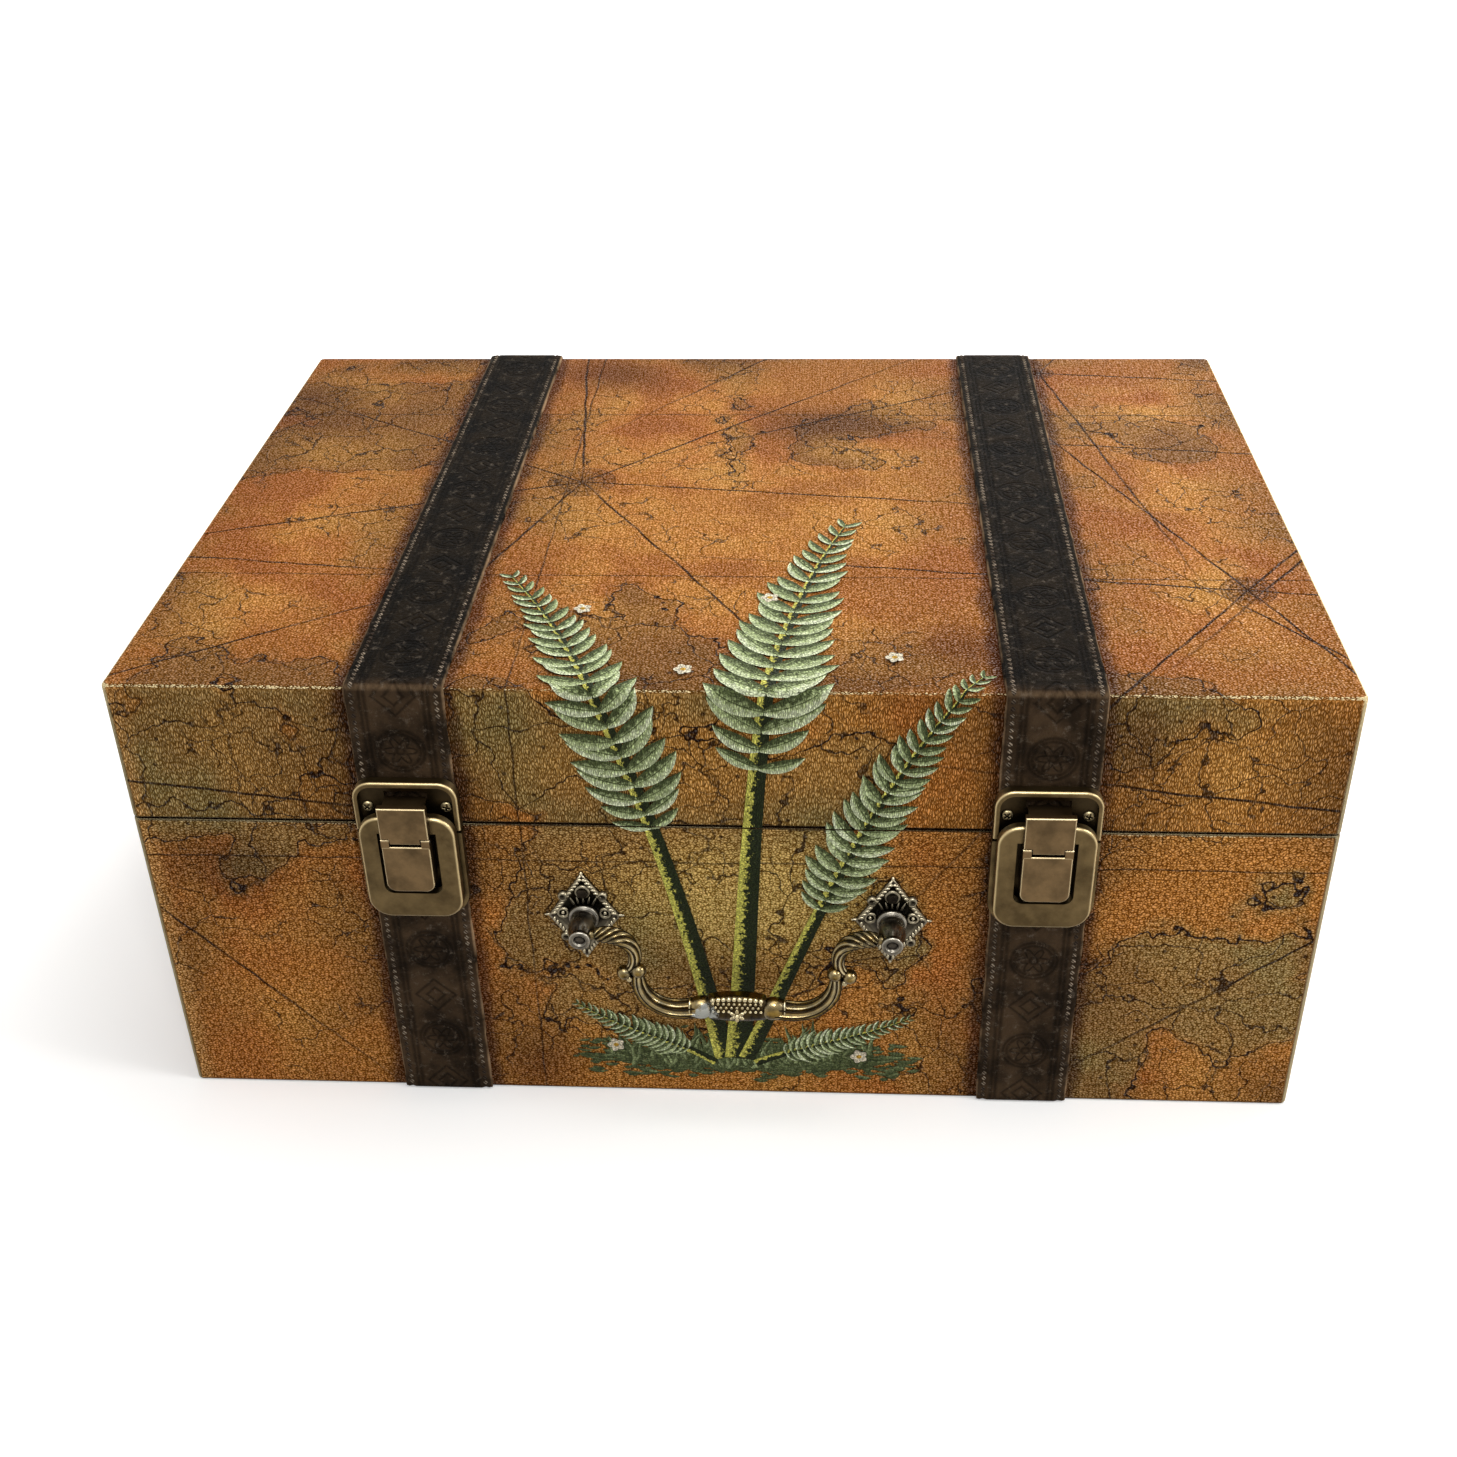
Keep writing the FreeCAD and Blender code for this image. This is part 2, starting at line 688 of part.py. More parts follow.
def keeper(side, sign, holes):
    """Tray on the lid with a slot for the claw's lip."""
    name = side + "_keeper"
    low = "plate_seam_gap"
    part, hollow = tray(name, sign, low, "keeper_top", "keeper_top", "keeper_depth", "keeper_rim",
                        "keeper_corner")
    foot = value(low)
    face = value("strap_thickness + keeper_depth")
    fillet(part, lambda edge: flat_at(edge, 1, -face) and not flat_at(edge, 2, foot), "keeper_edge")
    slot = block(name + "_slot", ("%s * strap_centre - lip_width / 2 - slot_gap" % sign,
                                  "%s * strap_centre + lip_width / 2 + slot_gap" % sign),
                 ("-half_depth - plate_face", "-half_depth - strap_thickness"),
                 ("seam + slot_low", "seam + slot_high"))
    node(cut(name, part, [fuse(name + "_opening", [hollow, slot])] + holes), name)


def latch_base(side, sign, holes):
    """Tray on the body that carries the ring."""
    name = side + "_latch_base"
    low = "ring_low - plate_margin"
    part, hollow = tray(name, sign, low, "-plate_seam_gap", low, "base_depth", "base_rim",
                        "ring_corner + plate_margin")
    node(cut(name, part, [hollow] + holes), name)


def latch_ring(side, sign, pin_holes):
    """Raised frame round the lever, on four feet; its shoulders carry the lever's pins."""
    name = side + "_latch_ring"
    part = latch_body(name + "_frame", sign)
    profile = sketch(part, "XZ", "ring_back")
    oblong(profile, "ring_half", "ring_low", "ring_top")
    pad(part, profile, "ring_thickness")
    fillet(part, lambda edge: straight(edge, 1), "ring_corner")
    face = value("ring_front")
    fillet(part, lambda edge: flat_at(edge, 1, -face), "ring_edge")
    window = sketch(part, "XZ", "ring_front")
    outline(window, [("-window_half", "window_low"), ("window_half", "window_low"),
                     ("window_half", "window_top"), ("notch_half", "window_top"),
                     ("notch_half", "ring_top"), ("-notch_half", "ring_top"),
                     ("-notch_half", "window_top"), ("-window_half", "window_top")])
    pocket(part, window, "ring_thickness")
    sill = value("window_low")
    fillet(part, lambda edge: straight(edge, 1) and flat_at(edge, 2, sill), "window_corner")
    feet = sketch(part, "XZ", "plate_face")
    for end in ("-1", "1"):
        across = "%s * (ring_half + window_half) / 2" % end
        circle(feet, across, "-ring_foot_drop", "ring_foot_radius")
        circle(feet, across, "window_low", "ring_foot_radius")
    pad(part, feet, "ring_back - plate_face + ring_thickness / 2")
    node(cut(name, part, pin_holes), name)


def lever(side, sign, holes):
    """Channel-shaped lever: finger plate, two cheeks up to its pins, two ears for the claw's pin."""
    name = side + "_lever"
    part = latch_body(name + "_plate", sign)
    profile = sketch(part, "XZ", "lever_inner")
    oblong(profile, "lever_width / 2", "lever_low", "-joint_drop")
    pad(part, profile, "lever_front - lever_inner")
    low = value("lever_low")
    fillet(part, lambda edge: straight(edge, 1) and flat_at(edge, 2, low), "lever_corner")
    face = value("lever_front")
    fillet(part, lambda edge: flat_at(edge, 1, -face), "lever_edge")
    hollow = sketch(part, "XZ", "lever_back")
    oblong(hollow, "lever_width / 2 - lever_wall", "lever_low + lever_wall", "-joint_drop")
    pocket(part, hollow, "lever_back - lever_inner")
    pieces = [part]
    centre = "%s * strap_centre" % sign
    eye_front = "lever_pivot_out + eye_radius"
    eye_back = "lever_pivot_out - eye_radius"
    for end, hand in (("-1", "a"), ("1", "b")):
        start = "%s + %s * cheek_span / 2" % (centre, end)
        if end == "1":
            start += " - cheek_thickness"
        cheek = body(name + "_cheek_" + hand, start, "-half_depth", "seam")
        side_view = sketch(cheek, "YZ")
        outline(side_view, [("-lever_back", "-cheek_root"), ("-lever_back", "-joint_drop - knuckle_gap"),
                            ("-(%s)" % eye_front, "-joint_drop"),
                            ("-(%s)" % eye_front, "lever_pivot_rise"),
                            ("-(%s)" % eye_back, "lever_pivot_rise"),
                            ("-(%s)" % eye_back, "-joint_drop")])
        pad(cheek, side_view, "cheek_thickness")
        eye = cylinder(name + "_eye_" + hand, "eye_radius", "cheek_thickness", ALONG_X,
                       start, "-half_depth - lever_pivot_out", "seam + lever_pivot_rise")
        ear_start = "%s + ear_inner" % centre if end == "1" else "%s - lever_width / 2" % centre
        ear_length = "lever_width / 2 - ear_inner"
        ear = cylinder(name + "_ear_" + hand, "knuckle_radius", ear_length, ALONG_X,
                       ear_start, "-half_depth - claw_pivot_out", "seam")
        web = block(name + "_web_" + hand, (ear_start, "%s + %s" % (ear_start, ear_length)),
                    ("-half_depth - claw_pivot_out - knuckle_radius",
                     "-half_depth - claw_pivot_out + knuckle_radius"),
                    ("seam - joint_drop - lever_edge", "seam"))
        pieces += [cheek, eye, ear, web]
    node(cut(name, fuse(name + "_whole", pieces), holes), name)


def claw(side, sign, hole):
    """Upper plate with a lip towards the keeper's slot, hinged on the lever by its knuckle."""
    name = side + "_claw"
    part = latch_body(name + "_plate", sign)
    profile = sketch(part, "XZ", "lever_back")
    ear_clear = "knuckle_clear"
    half = "lever_width / 2"
    waist = "knuckle_width / 2"
    outline(profile, [("-(%s)" % waist, "0"), (waist, "0"), (waist, ear_clear), (half, ear_clear),
                      (half, "claw_top"), ("-(%s)" % half, "claw_top"), ("-(%s)" % half, ear_clear),
                      ("-(%s)" % waist, ear_clear)])
    pad(part, profile, "lever_thickness")
    face = value("lever_front")
    top = value("claw_top")
    reach = value(half)
    fillet(part, lambda edge: flat_at(edge, 1, -face)
           and (flat_at(edge, 2, top) or abs(abs(edge.CenterOfMass.x) - reach) < 1e-6), "lever_edge")
    lip = sketch(part, "XZ", "lip_tip")
    oblong(lip, "lip_width / 2", "claw_top - lip_thickness", "claw_top - lever_edge")
    pad(part, lip, "lever_back - lip_tip + lever_thickness / 2")
    knuckle = cylinder(name + "_knuckle", "knuckle_radius", "knuckle_width", ALONG_X,
                       "%s * strap_centre - knuckle_width / 2" % sign,
                       "-half_depth - claw_pivot_out", "seam")
    node(cut(name, fuse(name + "_whole", [part, knuckle]), [hole]), name)


def latch(side, sign, keeper_holes, base_holes):
    """Keeper, base, ring, lever and claw of one latch, with the pins between them."""
    centre = "%s * strap_centre" % sign
    pin_y = "-half_depth - lever_pivot_out"
    pin_z = "seam + lever_pivot_rise"
    length = "cheek_thickness + cheek_gap + lever_pin_seat"
    pins = []
    holes = []
    for end, hand in (("-1", "a"), ("1", "b")):
        start = "%s + cheek_span / 2 - cheek_thickness" % centre if end == "1" else \
            "%s - cheek_span / 2 + cheek_thickness - (%s)" % (centre, length)
        label = "%s_lever_pin_%s" % (side, hand)
        pins.append(cylinder(label, "lever_pin_radius", length, ALONG_X, start, pin_y, pin_z))
        holes.append(cylinder(label + "_hole", "lever_pin_radius + fit_gap", length, ALONG_X,
                              start, pin_y, pin_z))
    node(group(side + "_lever_pins", pins), side + "_lever_pins")
    claw_y = "-half_depth - claw_pivot_out"
    across = "%s - lever_width / 2" % centre
    name = side + "_claw_pin"
    node(cylinder(name, "claw_pin_radius", "lever_width", ALONG_X, across, claw_y, "seam"), name)
    claw_hole = cylinder(name + "_hole", "claw_pin_radius + fit_gap", "lever_width", ALONG_X,
                         across, claw_y, "seam")
    keeper(side, sign, keeper_holes)
    latch_base(side, sign, base_holes)
    latch_ring(side, sign, holes)
    lever(side, sign, holes + [claw_hole])
    claw(side, sign, claw_hole)


# Pull handle

def rosette(side, x, holes):
    """Lozenge plate behind a post."""
    name = side + "_rosette"
    part = body(name + "_plate", x, "-half_depth", "handle_height")
    profile = sketch(part, "XZ")
    outline(profile, [("0", "-rosette_height / 2"), ("rosette_width / 2", "0"),
                      ("0", "rosette_height / 2"), ("-rosette_width / 2", "0")])
    pad(part, profile, "rosette_thickness")
    face = value("rosette_thickness")
    fillet(part, lambda edge: flat_at(edge, 1, -face), "rosette_edge")
    node(cut(name, part, holes), name)


def post(side, x, holes):
    """Turned post with a cupped end."""
    name = side + "_post"
    part = body(name + "_turning", x, "-half_depth", "handle_height")
    profile = sketch(part, "XY")
    flange = "rosette_thickness + post_flange_height"
    outline(profile, [("0", "-rosette_thickness"), ("post_flange_radius", "-rosette_thickness"),
                      ("post_flange_radius", "-(%s)" % flange), ("post_waist_radius", "-(%s)" % flange),
                      ("post_belly_radius", "-(rosette_thickness + post_belly_out)"),
                      ("post_neck_radius", "-post_neck_out"), ("post_ring_radius", "-post_neck_out"),
                      ("post_ring_radius", "-post_end"), ("post_cup_radius", "-post_end"),
                      ("post_cup_radius", "-(post_end - post_cup_depth)"),
                      ("0", "-(post_end - post_cup_depth)")])
    turning = part.newObject("PartDesign::Revolution", name + "_revolution")
    turning.Profile = profile
    turning.ReferenceAxis = (profile, ["V_Axis"])
    node(cut(name, part, holes), name)


def arc_tube(name, radius, start, sweep, x, z):
    """Part of a ring tube in the plane of the bail, from a start angle through a sweep."""
    item = doc.addObject("Part::Torus", name)
    turn = OUT_OF_FRONT.multiply(FreeCAD.Rotation(FreeCAD.Vector(0, 0, 1), value(start)))
    item.Placement = FreeCAD.Placement(FreeCAD.Vector(), turn)
    bind(item, Radius1=radius, Radius2="bail_wire_radius", Angle3=sweep)
    return place(item, "handle_offset + " + x, "-half_depth - pivot_out", "handle_height + " + z)


def bail_rod(name, low_radius, high_radius, low, high, z):
    """Straight or tapered length of the bail along X."""
    item = doc.addObject("Part::Cone", name)
    item.Placement = FreeCAD.Placement(FreeCAD.Vector(), ALONG_X)
    bind(item, Radius1=low_radius, Radius2=high_radius, Height="(%s) - (%s)" % (high, low))
    return place(item, "handle_offset + " + low, "-half_depth - pivot_out", "handle_height + " + z)


def bail_pin(root):
    """Pin of the bail in its post."""
    low = root + " - bail_lap"
    tip = "handle_spacing / 2 + bail_pin_length / 2"
    return cylinder("bail_pin", "bail_pin_radius", "(%s) - (%s)" % (tip, low), ALONG_X,
                    "handle_offset + " + low, "-half_depth - pivot_out", "handle_height")


def bail_ball(name, radius, x, z):
    """Ball on the bail."""
    return ball(name, radius, "handle_offset + " + x, "-half_depth - pivot_out", "handle_height + " + z)


def bail():
    """Cast bail: a plaque between two collars, and on each side an arm, a scroll and a pin."""
    root = "bail_scroll_x + bail_root_length"
    end = "90 + scroll_sweep"
    half = join("bail_half", [
        bail_pin(root),
        bail_rod("bail_root", "bail_root_radius", "bail_root_neck", "bail_scroll_x - bail_lap", root, "0"),
        arc_tube("bail_scroll", "scroll_radius", "90", "scroll_sweep", "bail_scroll_x", "-scroll_radius"),
        bail_ball("bail_scroll_ball", "scroll_ball_radius",
                  "bail_scroll_x + scroll_radius * cos(%s)" % end,
                  "scroll_radius * (sin(%s) - 1)" % end),
        arc_tube("bail_arm", "arm_radius", "-90", "90 + arm_start", "arm_x", "arm_z"),
        bail_ball("bail_arm_ball", "arm_ball_radius", "arm_start_x", "arm_start_z"),
        bail_rod("bail_run", "collar_throat", "arm_end_radius", "collar_x", "arm_x + bail_lap",
                 "bail_bottom"),
        bail_ball("bail_collar", "collar_radius", "collar_x", "bail_bottom + collar_rise"),
    ])
    other = group("bail_other_half", [half])
    other.Placement = FreeCAD.Placement(FreeCAD.Vector(), HALF_TURN)
    place(other, "2 * handle_offset", "-2 * (half_depth + pivot_out)")
    part = body("bail_plaque", "handle_offset", "-half_depth - pivot_out", "handle_height")
    profile = sketch(part, "XZ", "-plaque_thickness / 2")
    middle = "bail_bottom + plaque_rise"
    oblong(profile, "plaque_length / 2", middle + " - plaque_height / 2", middle + " + plaque_height / 2")
    pad(part, profile, "plaque_thickness")
    fillet(part, lambda edge: straight(edge, 0), "plaque_edge")
    node(join("bail", [part, half, other]), "bail")


def handle(bolt_holes, nail_holes):
    """Rosettes, posts and bail."""
    for (side, sign), bolt_hole, nail_hole in zip(SIDES.items(), bolt_holes, nail_holes):
        x = "handle_offset + %s * handle_spacing / 2" % sign
        rosette(side, x, [bolt_hole, nail_hole])
        length = "handle_spacing / 2 + bail_pin_length / 2 + bail_side_gap"
        low = "handle_offset" if sign == "1" else "handle_offset - (%s)" % length
        socket = cylinder(side + "_post_socket", "bail_pin_radius + fit_gap", length, ALONG_X,
                          low, "-half_depth - pivot_out", "handle_height")
        post(side, x, [bolt_hole, socket])
    bail()


# Hinges

def hinge_leaf(name, centre, way, knuckles, pin_hole, holes):
    """Leaf on the back face with its knuckles round the pin."""
    far = "seam + %s * hinge_leaf" % way
    edge = "seam + %s * hinge_clear" % way
    span = (far, edge) if way == "-1" else (edge, far)
    tab = (edge, "seam") if way == "-1" else ("seam", edge)
    thick = ("half_depth", "half_depth + hinge_sheet")
    pieces = [block(name + "_sheet", ("%s - hinge_width / 2" % centre, "%s + hinge_width / 2" % centre),
                    thick, span)]
    for i, (low, high) in enumerate(knuckles):
        x = ("%s + %s" % (centre, low), "%s + %s" % (centre, high))
        pieces.append(block("%s_tab_%d" % (name, i), x, thick, tab))
        pieces.append(cylinder("%s_knuckle_%d" % (name, i), "hinge_barrel_radius",
                               "(%s) - (%s)" % (high, low), ALONG_X, x[0],
                               "half_depth + hinge_axis", "seam"))
    node(cut(name, fuse(name + "_whole", pieces), [pin_hole] + holes), name)


def hinge(side, sign, body_holes, lid_holes):
    """Butt hinge: outer knuckles on the body, the middle one on the lid."""
    centre = "%s * hinge_centre" % sign
    start = centre + " - hinge_width / 2"
    y = "half_depth + hinge_axis"
    pin = cylinder(side + "_hinge_pin", "hinge_pin_radius", "hinge_width", ALONG_X, start, y, "seam")
    node(pin, side + "_hinge_pin")
    hole = cylinder(side + "_hinge_hole", "hinge_pin_radius + fit_gap", "hinge_width", ALONG_X,
                    start, y, "seam")
    inner = "hinge_knuckle / 2"
    outer = [("-hinge_width / 2", "-%s - hinge_knuckle_gap" % inner),
             ("%s + hinge_knuckle_gap" % inner, "hinge_width / 2")]
    hinge_leaf(side + "_hinge_body_leaf", centre, "-1", outer, hole, body_holes)
    hinge_leaf(side + "_hinge_lid_leaf", centre, "1", [("-" + inner, inner)], hole, lid_holes)


# Assembly

keeper_holes, base_holes = latch_screws_and_holes()
hinge_body_holes, hinge_lid_holes = hinge_screws_and_holes()
bolt_holes, nail_holes = handle_bolts_and_holes()
body_front_holes = base_holes + bolt_holes + nail_holes
body_box(body_front_holes, hinge_body_holes, body_front_holes + hinge_body_holes, bolt_holes)
lid_box(keeper_holes, hinge_lid_holes, keeper_holes + hinge_lid_holes)
for number, (side, sign) in enumerate(SIDES.items()):
    pair = slice(2 * number, 2 * number + 2)
    lid_strap(side, sign, keeper_holes[pair])
    body_strap(side + "_front_strap", sign, "-half_depth - strap_thickness", "-half_depth", base_holes[pair])
    body_strap(side + "_back_strap", sign, "half_depth", "half_depth + strap_thickness", [])
    latch(side, sign, keeper_holes[pair], base_holes[pair])
    hinge(side, sign, hinge_body_holes[pair], hinge_lid_holes[pair])
handle(bolt_holes, nail_holes)
doc.recompute()

for item in doc.Objects:
    if "Invalid" in item.State or "Error" in item.State:
        raise RuntimeError("%s failed: %s" % (item.Label, item.State))
for item in nodes:
    if item.Shape.isNull() or not item.Shape.isValid():
        raise RuntimeError("bad shape: " + item.Label)

os.makedirs("parts", exist_ok=True)
for item in nodes:
    item.Shape.exportStep("parts/%s.step" % item.Label)
print(len(nodes), "pieces")
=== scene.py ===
import bmesh
import bpy
import math
import random
from mathutils import Matrix, Vector, noise


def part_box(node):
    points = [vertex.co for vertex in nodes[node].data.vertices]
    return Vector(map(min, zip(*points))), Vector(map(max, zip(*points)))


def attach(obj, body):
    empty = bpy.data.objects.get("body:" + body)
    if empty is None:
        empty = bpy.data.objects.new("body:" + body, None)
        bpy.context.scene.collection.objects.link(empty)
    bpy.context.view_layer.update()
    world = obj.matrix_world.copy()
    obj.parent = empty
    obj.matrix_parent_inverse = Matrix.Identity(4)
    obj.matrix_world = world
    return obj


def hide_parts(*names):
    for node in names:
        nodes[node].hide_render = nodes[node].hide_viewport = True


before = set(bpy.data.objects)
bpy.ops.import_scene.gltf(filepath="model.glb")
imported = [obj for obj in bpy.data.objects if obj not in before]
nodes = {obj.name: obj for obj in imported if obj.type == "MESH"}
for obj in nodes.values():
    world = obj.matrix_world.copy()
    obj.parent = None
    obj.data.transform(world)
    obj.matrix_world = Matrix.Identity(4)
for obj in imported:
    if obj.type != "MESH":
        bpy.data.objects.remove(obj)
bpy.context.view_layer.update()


# Studio
# A pale floor under a plain white backdrop, a large soft lamp overhead, one behind on the right like a
# window, weaker ones from the right and the front, and a panel that only shows as a gleam on shiny things.
# The camera stands where the photograph was taken from.

def linear(colour):
    """sRGB hex colour as linear RGBA."""
    parts = [int(colour[i:i + 2], 16) / 255 for i in (1, 3, 5)]
    return tuple(c / 12.92 if c <= 0.04045 else ((c + 0.055) / 1.055) ** 2.4 for c in parts) + (1.0,)


def feed(tree, node, inputs):
    """Give a node's inputs a value each, or the socket that feeds them."""
    for name, value in inputs.items():
        if isinstance(value, bpy.types.NodeSocket):
            tree.links.new(value, node.inputs[name])
        else:
            node.inputs[name].default_value = value


def add(tree, kind, inputs=None, **settings):
    """One new node with its settings and inputs."""
    made = tree.nodes.new("ShaderNode" + kind)
    for name, value in settings.items():
        setattr(made, name, value)
    feed(tree, made, inputs or {})
    return made


def calc(tree, operation, *values):
    """One step of arithmetic on numbers."""
    return add(tree, "Math", dict(enumerate(values)), operation=operation).outputs[0]


def vec(tree, operation, *values):
    """One step of arithmetic on vectors; a length or distance comes out as a number."""
    inputs = dict(enumerate(values))
    if operation == "SCALE":
        inputs["Scale"] = inputs.pop(1)
    made = add(tree, "VectorMath", inputs, operation=operation).outputs
    return made["Value" if operation in ("LENGTH", "DISTANCE") else "Vector"]


def ramp(tree, value, low, high, start=0.0, end=1.0, smooth=False):
    """A value that goes from start to end while another goes from low to high, and is held beyond."""
    inputs = {"Value": value, "From Min": low, "From Max": high, "To Min": start, "To Max": end}
    return add(tree, "MapRange", inputs, interpolation_type="SMOOTHSTEP" if smooth else "LINEAR").outputs[0]


scene = bpy.context.scene
scene.view_settings.view_transform = "Standard"
scene.world = bpy.data.worlds.new("studio")
scene.world.use_nodes = True
sky = scene.world.node_tree
sky.nodes.clear()
seen = add(sky, "LightPath").outputs
shown = calc(sky, "ADD", seen["Is Camera Ray"], seen["Is Glossy Ray"])
shown = calc(sky, "ADD", shown, seen["Is Transmission Ray"])
level = ramp(sky, shown, 0.0, 1.0, 0.3, 1.0)
backdrop = add(sky, "Background", {"Color": linear("#FFFFFF"), "Strength": level}).outputs[0]
add(sky, "OutputWorld", {"Surface": backdrop})

floor_mesh = bmesh.new()
bmesh.ops.create_grid(floor_mesh, x_segments=1, y_segments=1, size=6.0)
floor = bpy.data.objects.new("floor", bpy.data.meshes.new("floor"))
floor_mesh.to_mesh(floor.data)
floor_mesh.free()
scene.collection.objects.link(floor)

# matt white paint; to the eye it also glows, more so far from the chest, so that it fades into the backdrop
floor_paint = bpy.data.materials.new("pale floor paint")
floor_paint.use_nodes = True
tree = floor_paint.node_tree
tree.nodes.clear()
seen = add(tree, "LightPath").outputs
far = vec(tree, "LENGTH", add(tree, "TexCoord").outputs["Object"])
far = ramp(tree, far, 0.2, 1.0, 0.28, 0.8)
glow = add(tree, "Emission", {"Color": linear("#FFFFFF"), "Strength": far}).outputs[0]
matt = add(tree, "BsdfDiffuse", {"Color": linear("#F2F1EF")}).outputs[0]
lit = add(tree, "AddShader", {0: glow, 1: matt}).outputs[0]
shown = calc(tree, "ADD", seen["Is Camera Ray"], seen["Is Glossy Ray"])
shown = add(tree, "Math", {0: shown, 1: seen["Is Transmission Ray"]}, operation="ADD", use_clamp=True).outputs[0]
paint = add(tree, "MixShader", {0: shown, 1: matt, 2: lit}).outputs[0]
add(tree, "OutputMaterial", {"Surface": paint})
floor.data.materials.append(floor_paint)

LOOK_AT = Vector((0, 0, 0.08))
for name, place, size, power in (("key lamp", (0.15, 0.0, 1.4), 0.8, 8.8),
                                 ("window lamp", (0.45, 1.05, 0.85), 0.6, 13.0),
                                 ("side lamp", (1.2, -0.35, 0.8), 0.34, 7.0),
                                 ("front lamp", (0.2, -0.95, 1.2), 0.22, 4.8),
                                 ("gleam panel", (-0.15, -0.75, 1.25), 0.7, 9.0)):
    lamp = bpy.data.objects.new(name, bpy.data.lights.new(name, "AREA"))
    lamp.data.size = size
    lamp.data.energy = power
    lamp.location = place
    lamp.visible_diffuse = name != "gleam panel"
    lamp.rotation_euler = (LOOK_AT - Vector(place)).to_track_quat("-Z", "Y").to_euler()
    scene.collection.objects.link(lamp)

camera = bpy.data.objects.new("camera", bpy.data.cameras.new("camera"))
camera.data.sensor_width = 36.0
camera.data.lens = 43.47
camera.location = (0.0305, -0.5605, 0.4230)
camera.rotation_euler = [math.radians(a) for a in (57.17, 1.18, 3.08)]
scene.collection.objects.link(camera)
scene.camera = camera


# Boards
# Medium-density fibreboard, sawn and glued at rabbeted corners. It shows only where a cover or lining
# stops: a dull brown face with fine fibres, a little darker where the glue has soaked in.

def finish(piece, material):
    """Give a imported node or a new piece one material."""
    piece.data.materials.clear()
    piece.data.materials.append(material)


def surface(name):
    """A new material with its tree and its shader."""
    made = bpy.data.materials.new(name)
    made.use_nodes = True
    return made, made.node_tree, made.node_tree.nodes["Principled BSDF"]


def mix(tree, share, first, second, how="MIX"):
    """Two colours mixed, each given in hex, as linear RGBA or by a socket."""
    first, second = (linear(c) if isinstance(c, str) else c for c in (first, second))
    return add(tree, "MixRGB", {"Fac": share, "Color1": first, "Color2": second}, blend_type=how).outputs[0]


def speckle(tree, spot, scale, detail, rough=0.5, flat=False):
    """Soft noise from 0 to 1, through the solid or on a sheet laid flat."""
    inputs = {"Vector": spot, "Scale": scale, "Detail": detail, "Roughness": rough}
    return add(tree, "TexNoise", inputs, noise_dimensions="2D" if flat else "3D").outputs["Fac"]


fibreboard, tree, shader = surface("sawn fibreboard")
spot = add(tree, "TexCoord").outputs["Object"]
fibres = speckle(tree, spot, 900.0, 4.0, 0.7)
soaked = speckle(tree, spot, 25.0, 2.0)
tone = mix(tree, soaked, "#A98358", "#86643F")
tone = mix(tree, fibres, tone, "#C09A6C")
rough_saw = add(tree, "Bump", {"Height": fibres, "Strength": 0.3, "Distance": 0.0002}).outputs[0]
feed(tree, shader, {"Base Color": tone, "Normal": rough_saw, "Roughness": 0.85})
for name in nodes:
    if name.endswith("_board"):
        finish(nodes[name], fibreboard)


# Covers of body and lid
# Leatherette glued round the boards: an embossed vinyl skin printed like an old sea chart, with tinted
# land, drawn coasts, bearing lines and compass roses, then darkened by hand towards edges and straps.

MM = 1000.0
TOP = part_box("lid_cover")[1].z * MM
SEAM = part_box("body_cover")[1].z * MM + 0.25
HALF_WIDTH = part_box("lid_cover")[1].x * MM
HALF_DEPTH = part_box("lid_cover")[1].y * MM
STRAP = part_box("right_front_strap")
STRAP_CENTRE = (STRAP[0].x + STRAP[1].x) / 2 * MM
STRAP_HALF = (STRAP[1].x - STRAP[0].x) / 2 * MM


def in_mm(tree):
    """Place on the chest in millimetres."""
    return vec(tree, "SCALE", add(tree, "TexCoord").outputs["Object"], MM)


def apart(tree, value, centre):
    """How far a number lies from a centre, either way."""
    return calc(tree, "ABSOLUTE", calc(tree, "SUBTRACT", value, centre))


def flatness(tree, normal):
    """1 on faces square to the chest and less where the surface turns; and how much it faces each axis."""
    turn = add(tree, "SeparateXYZ", {0: vec(tree, "ABSOLUTE", normal)}).outputs
    return calc(tree, "MAXIMUM", calc(tree, "MAXIMUM", turn["X"], turn["Y"]), turn["Z"]), turn


def patch(tree, sheet, u, v, wide, deep):
    """0 in the middle of an oval on the sheet and 1 on its rim."""
    away = vec(tree, "SUBTRACT", sheet, (u, v, 0.0))
    return vec(tree, "LENGTH", vec(tree, "MULTIPLY", away, (1 / wide, 1 / deep, 0.0)))


def unfolded(tree):
    """Millimetres on the sheet laid flat: the top as it lies, with each side folded out from its edge."""
    spot = add(tree, "TexCoord").outputs
    axes = add(tree, "SeparateXYZ", {0: in_mm(tree)}).outputs
    drop = calc(tree, "SUBTRACT", TOP, axes["Z"])
    fold = add(tree, "CombineXYZ", {"X": drop, "Y": drop}).outputs[0]
    plan = add(tree, "CombineXYZ", {"X": axes["X"], "Y": axes["Y"]}).outputs[0]
    sheet = vec(tree, "MULTIPLY_ADD", spot["Normal"], fold, plan)
    return sheet, axes, spot["Normal"]


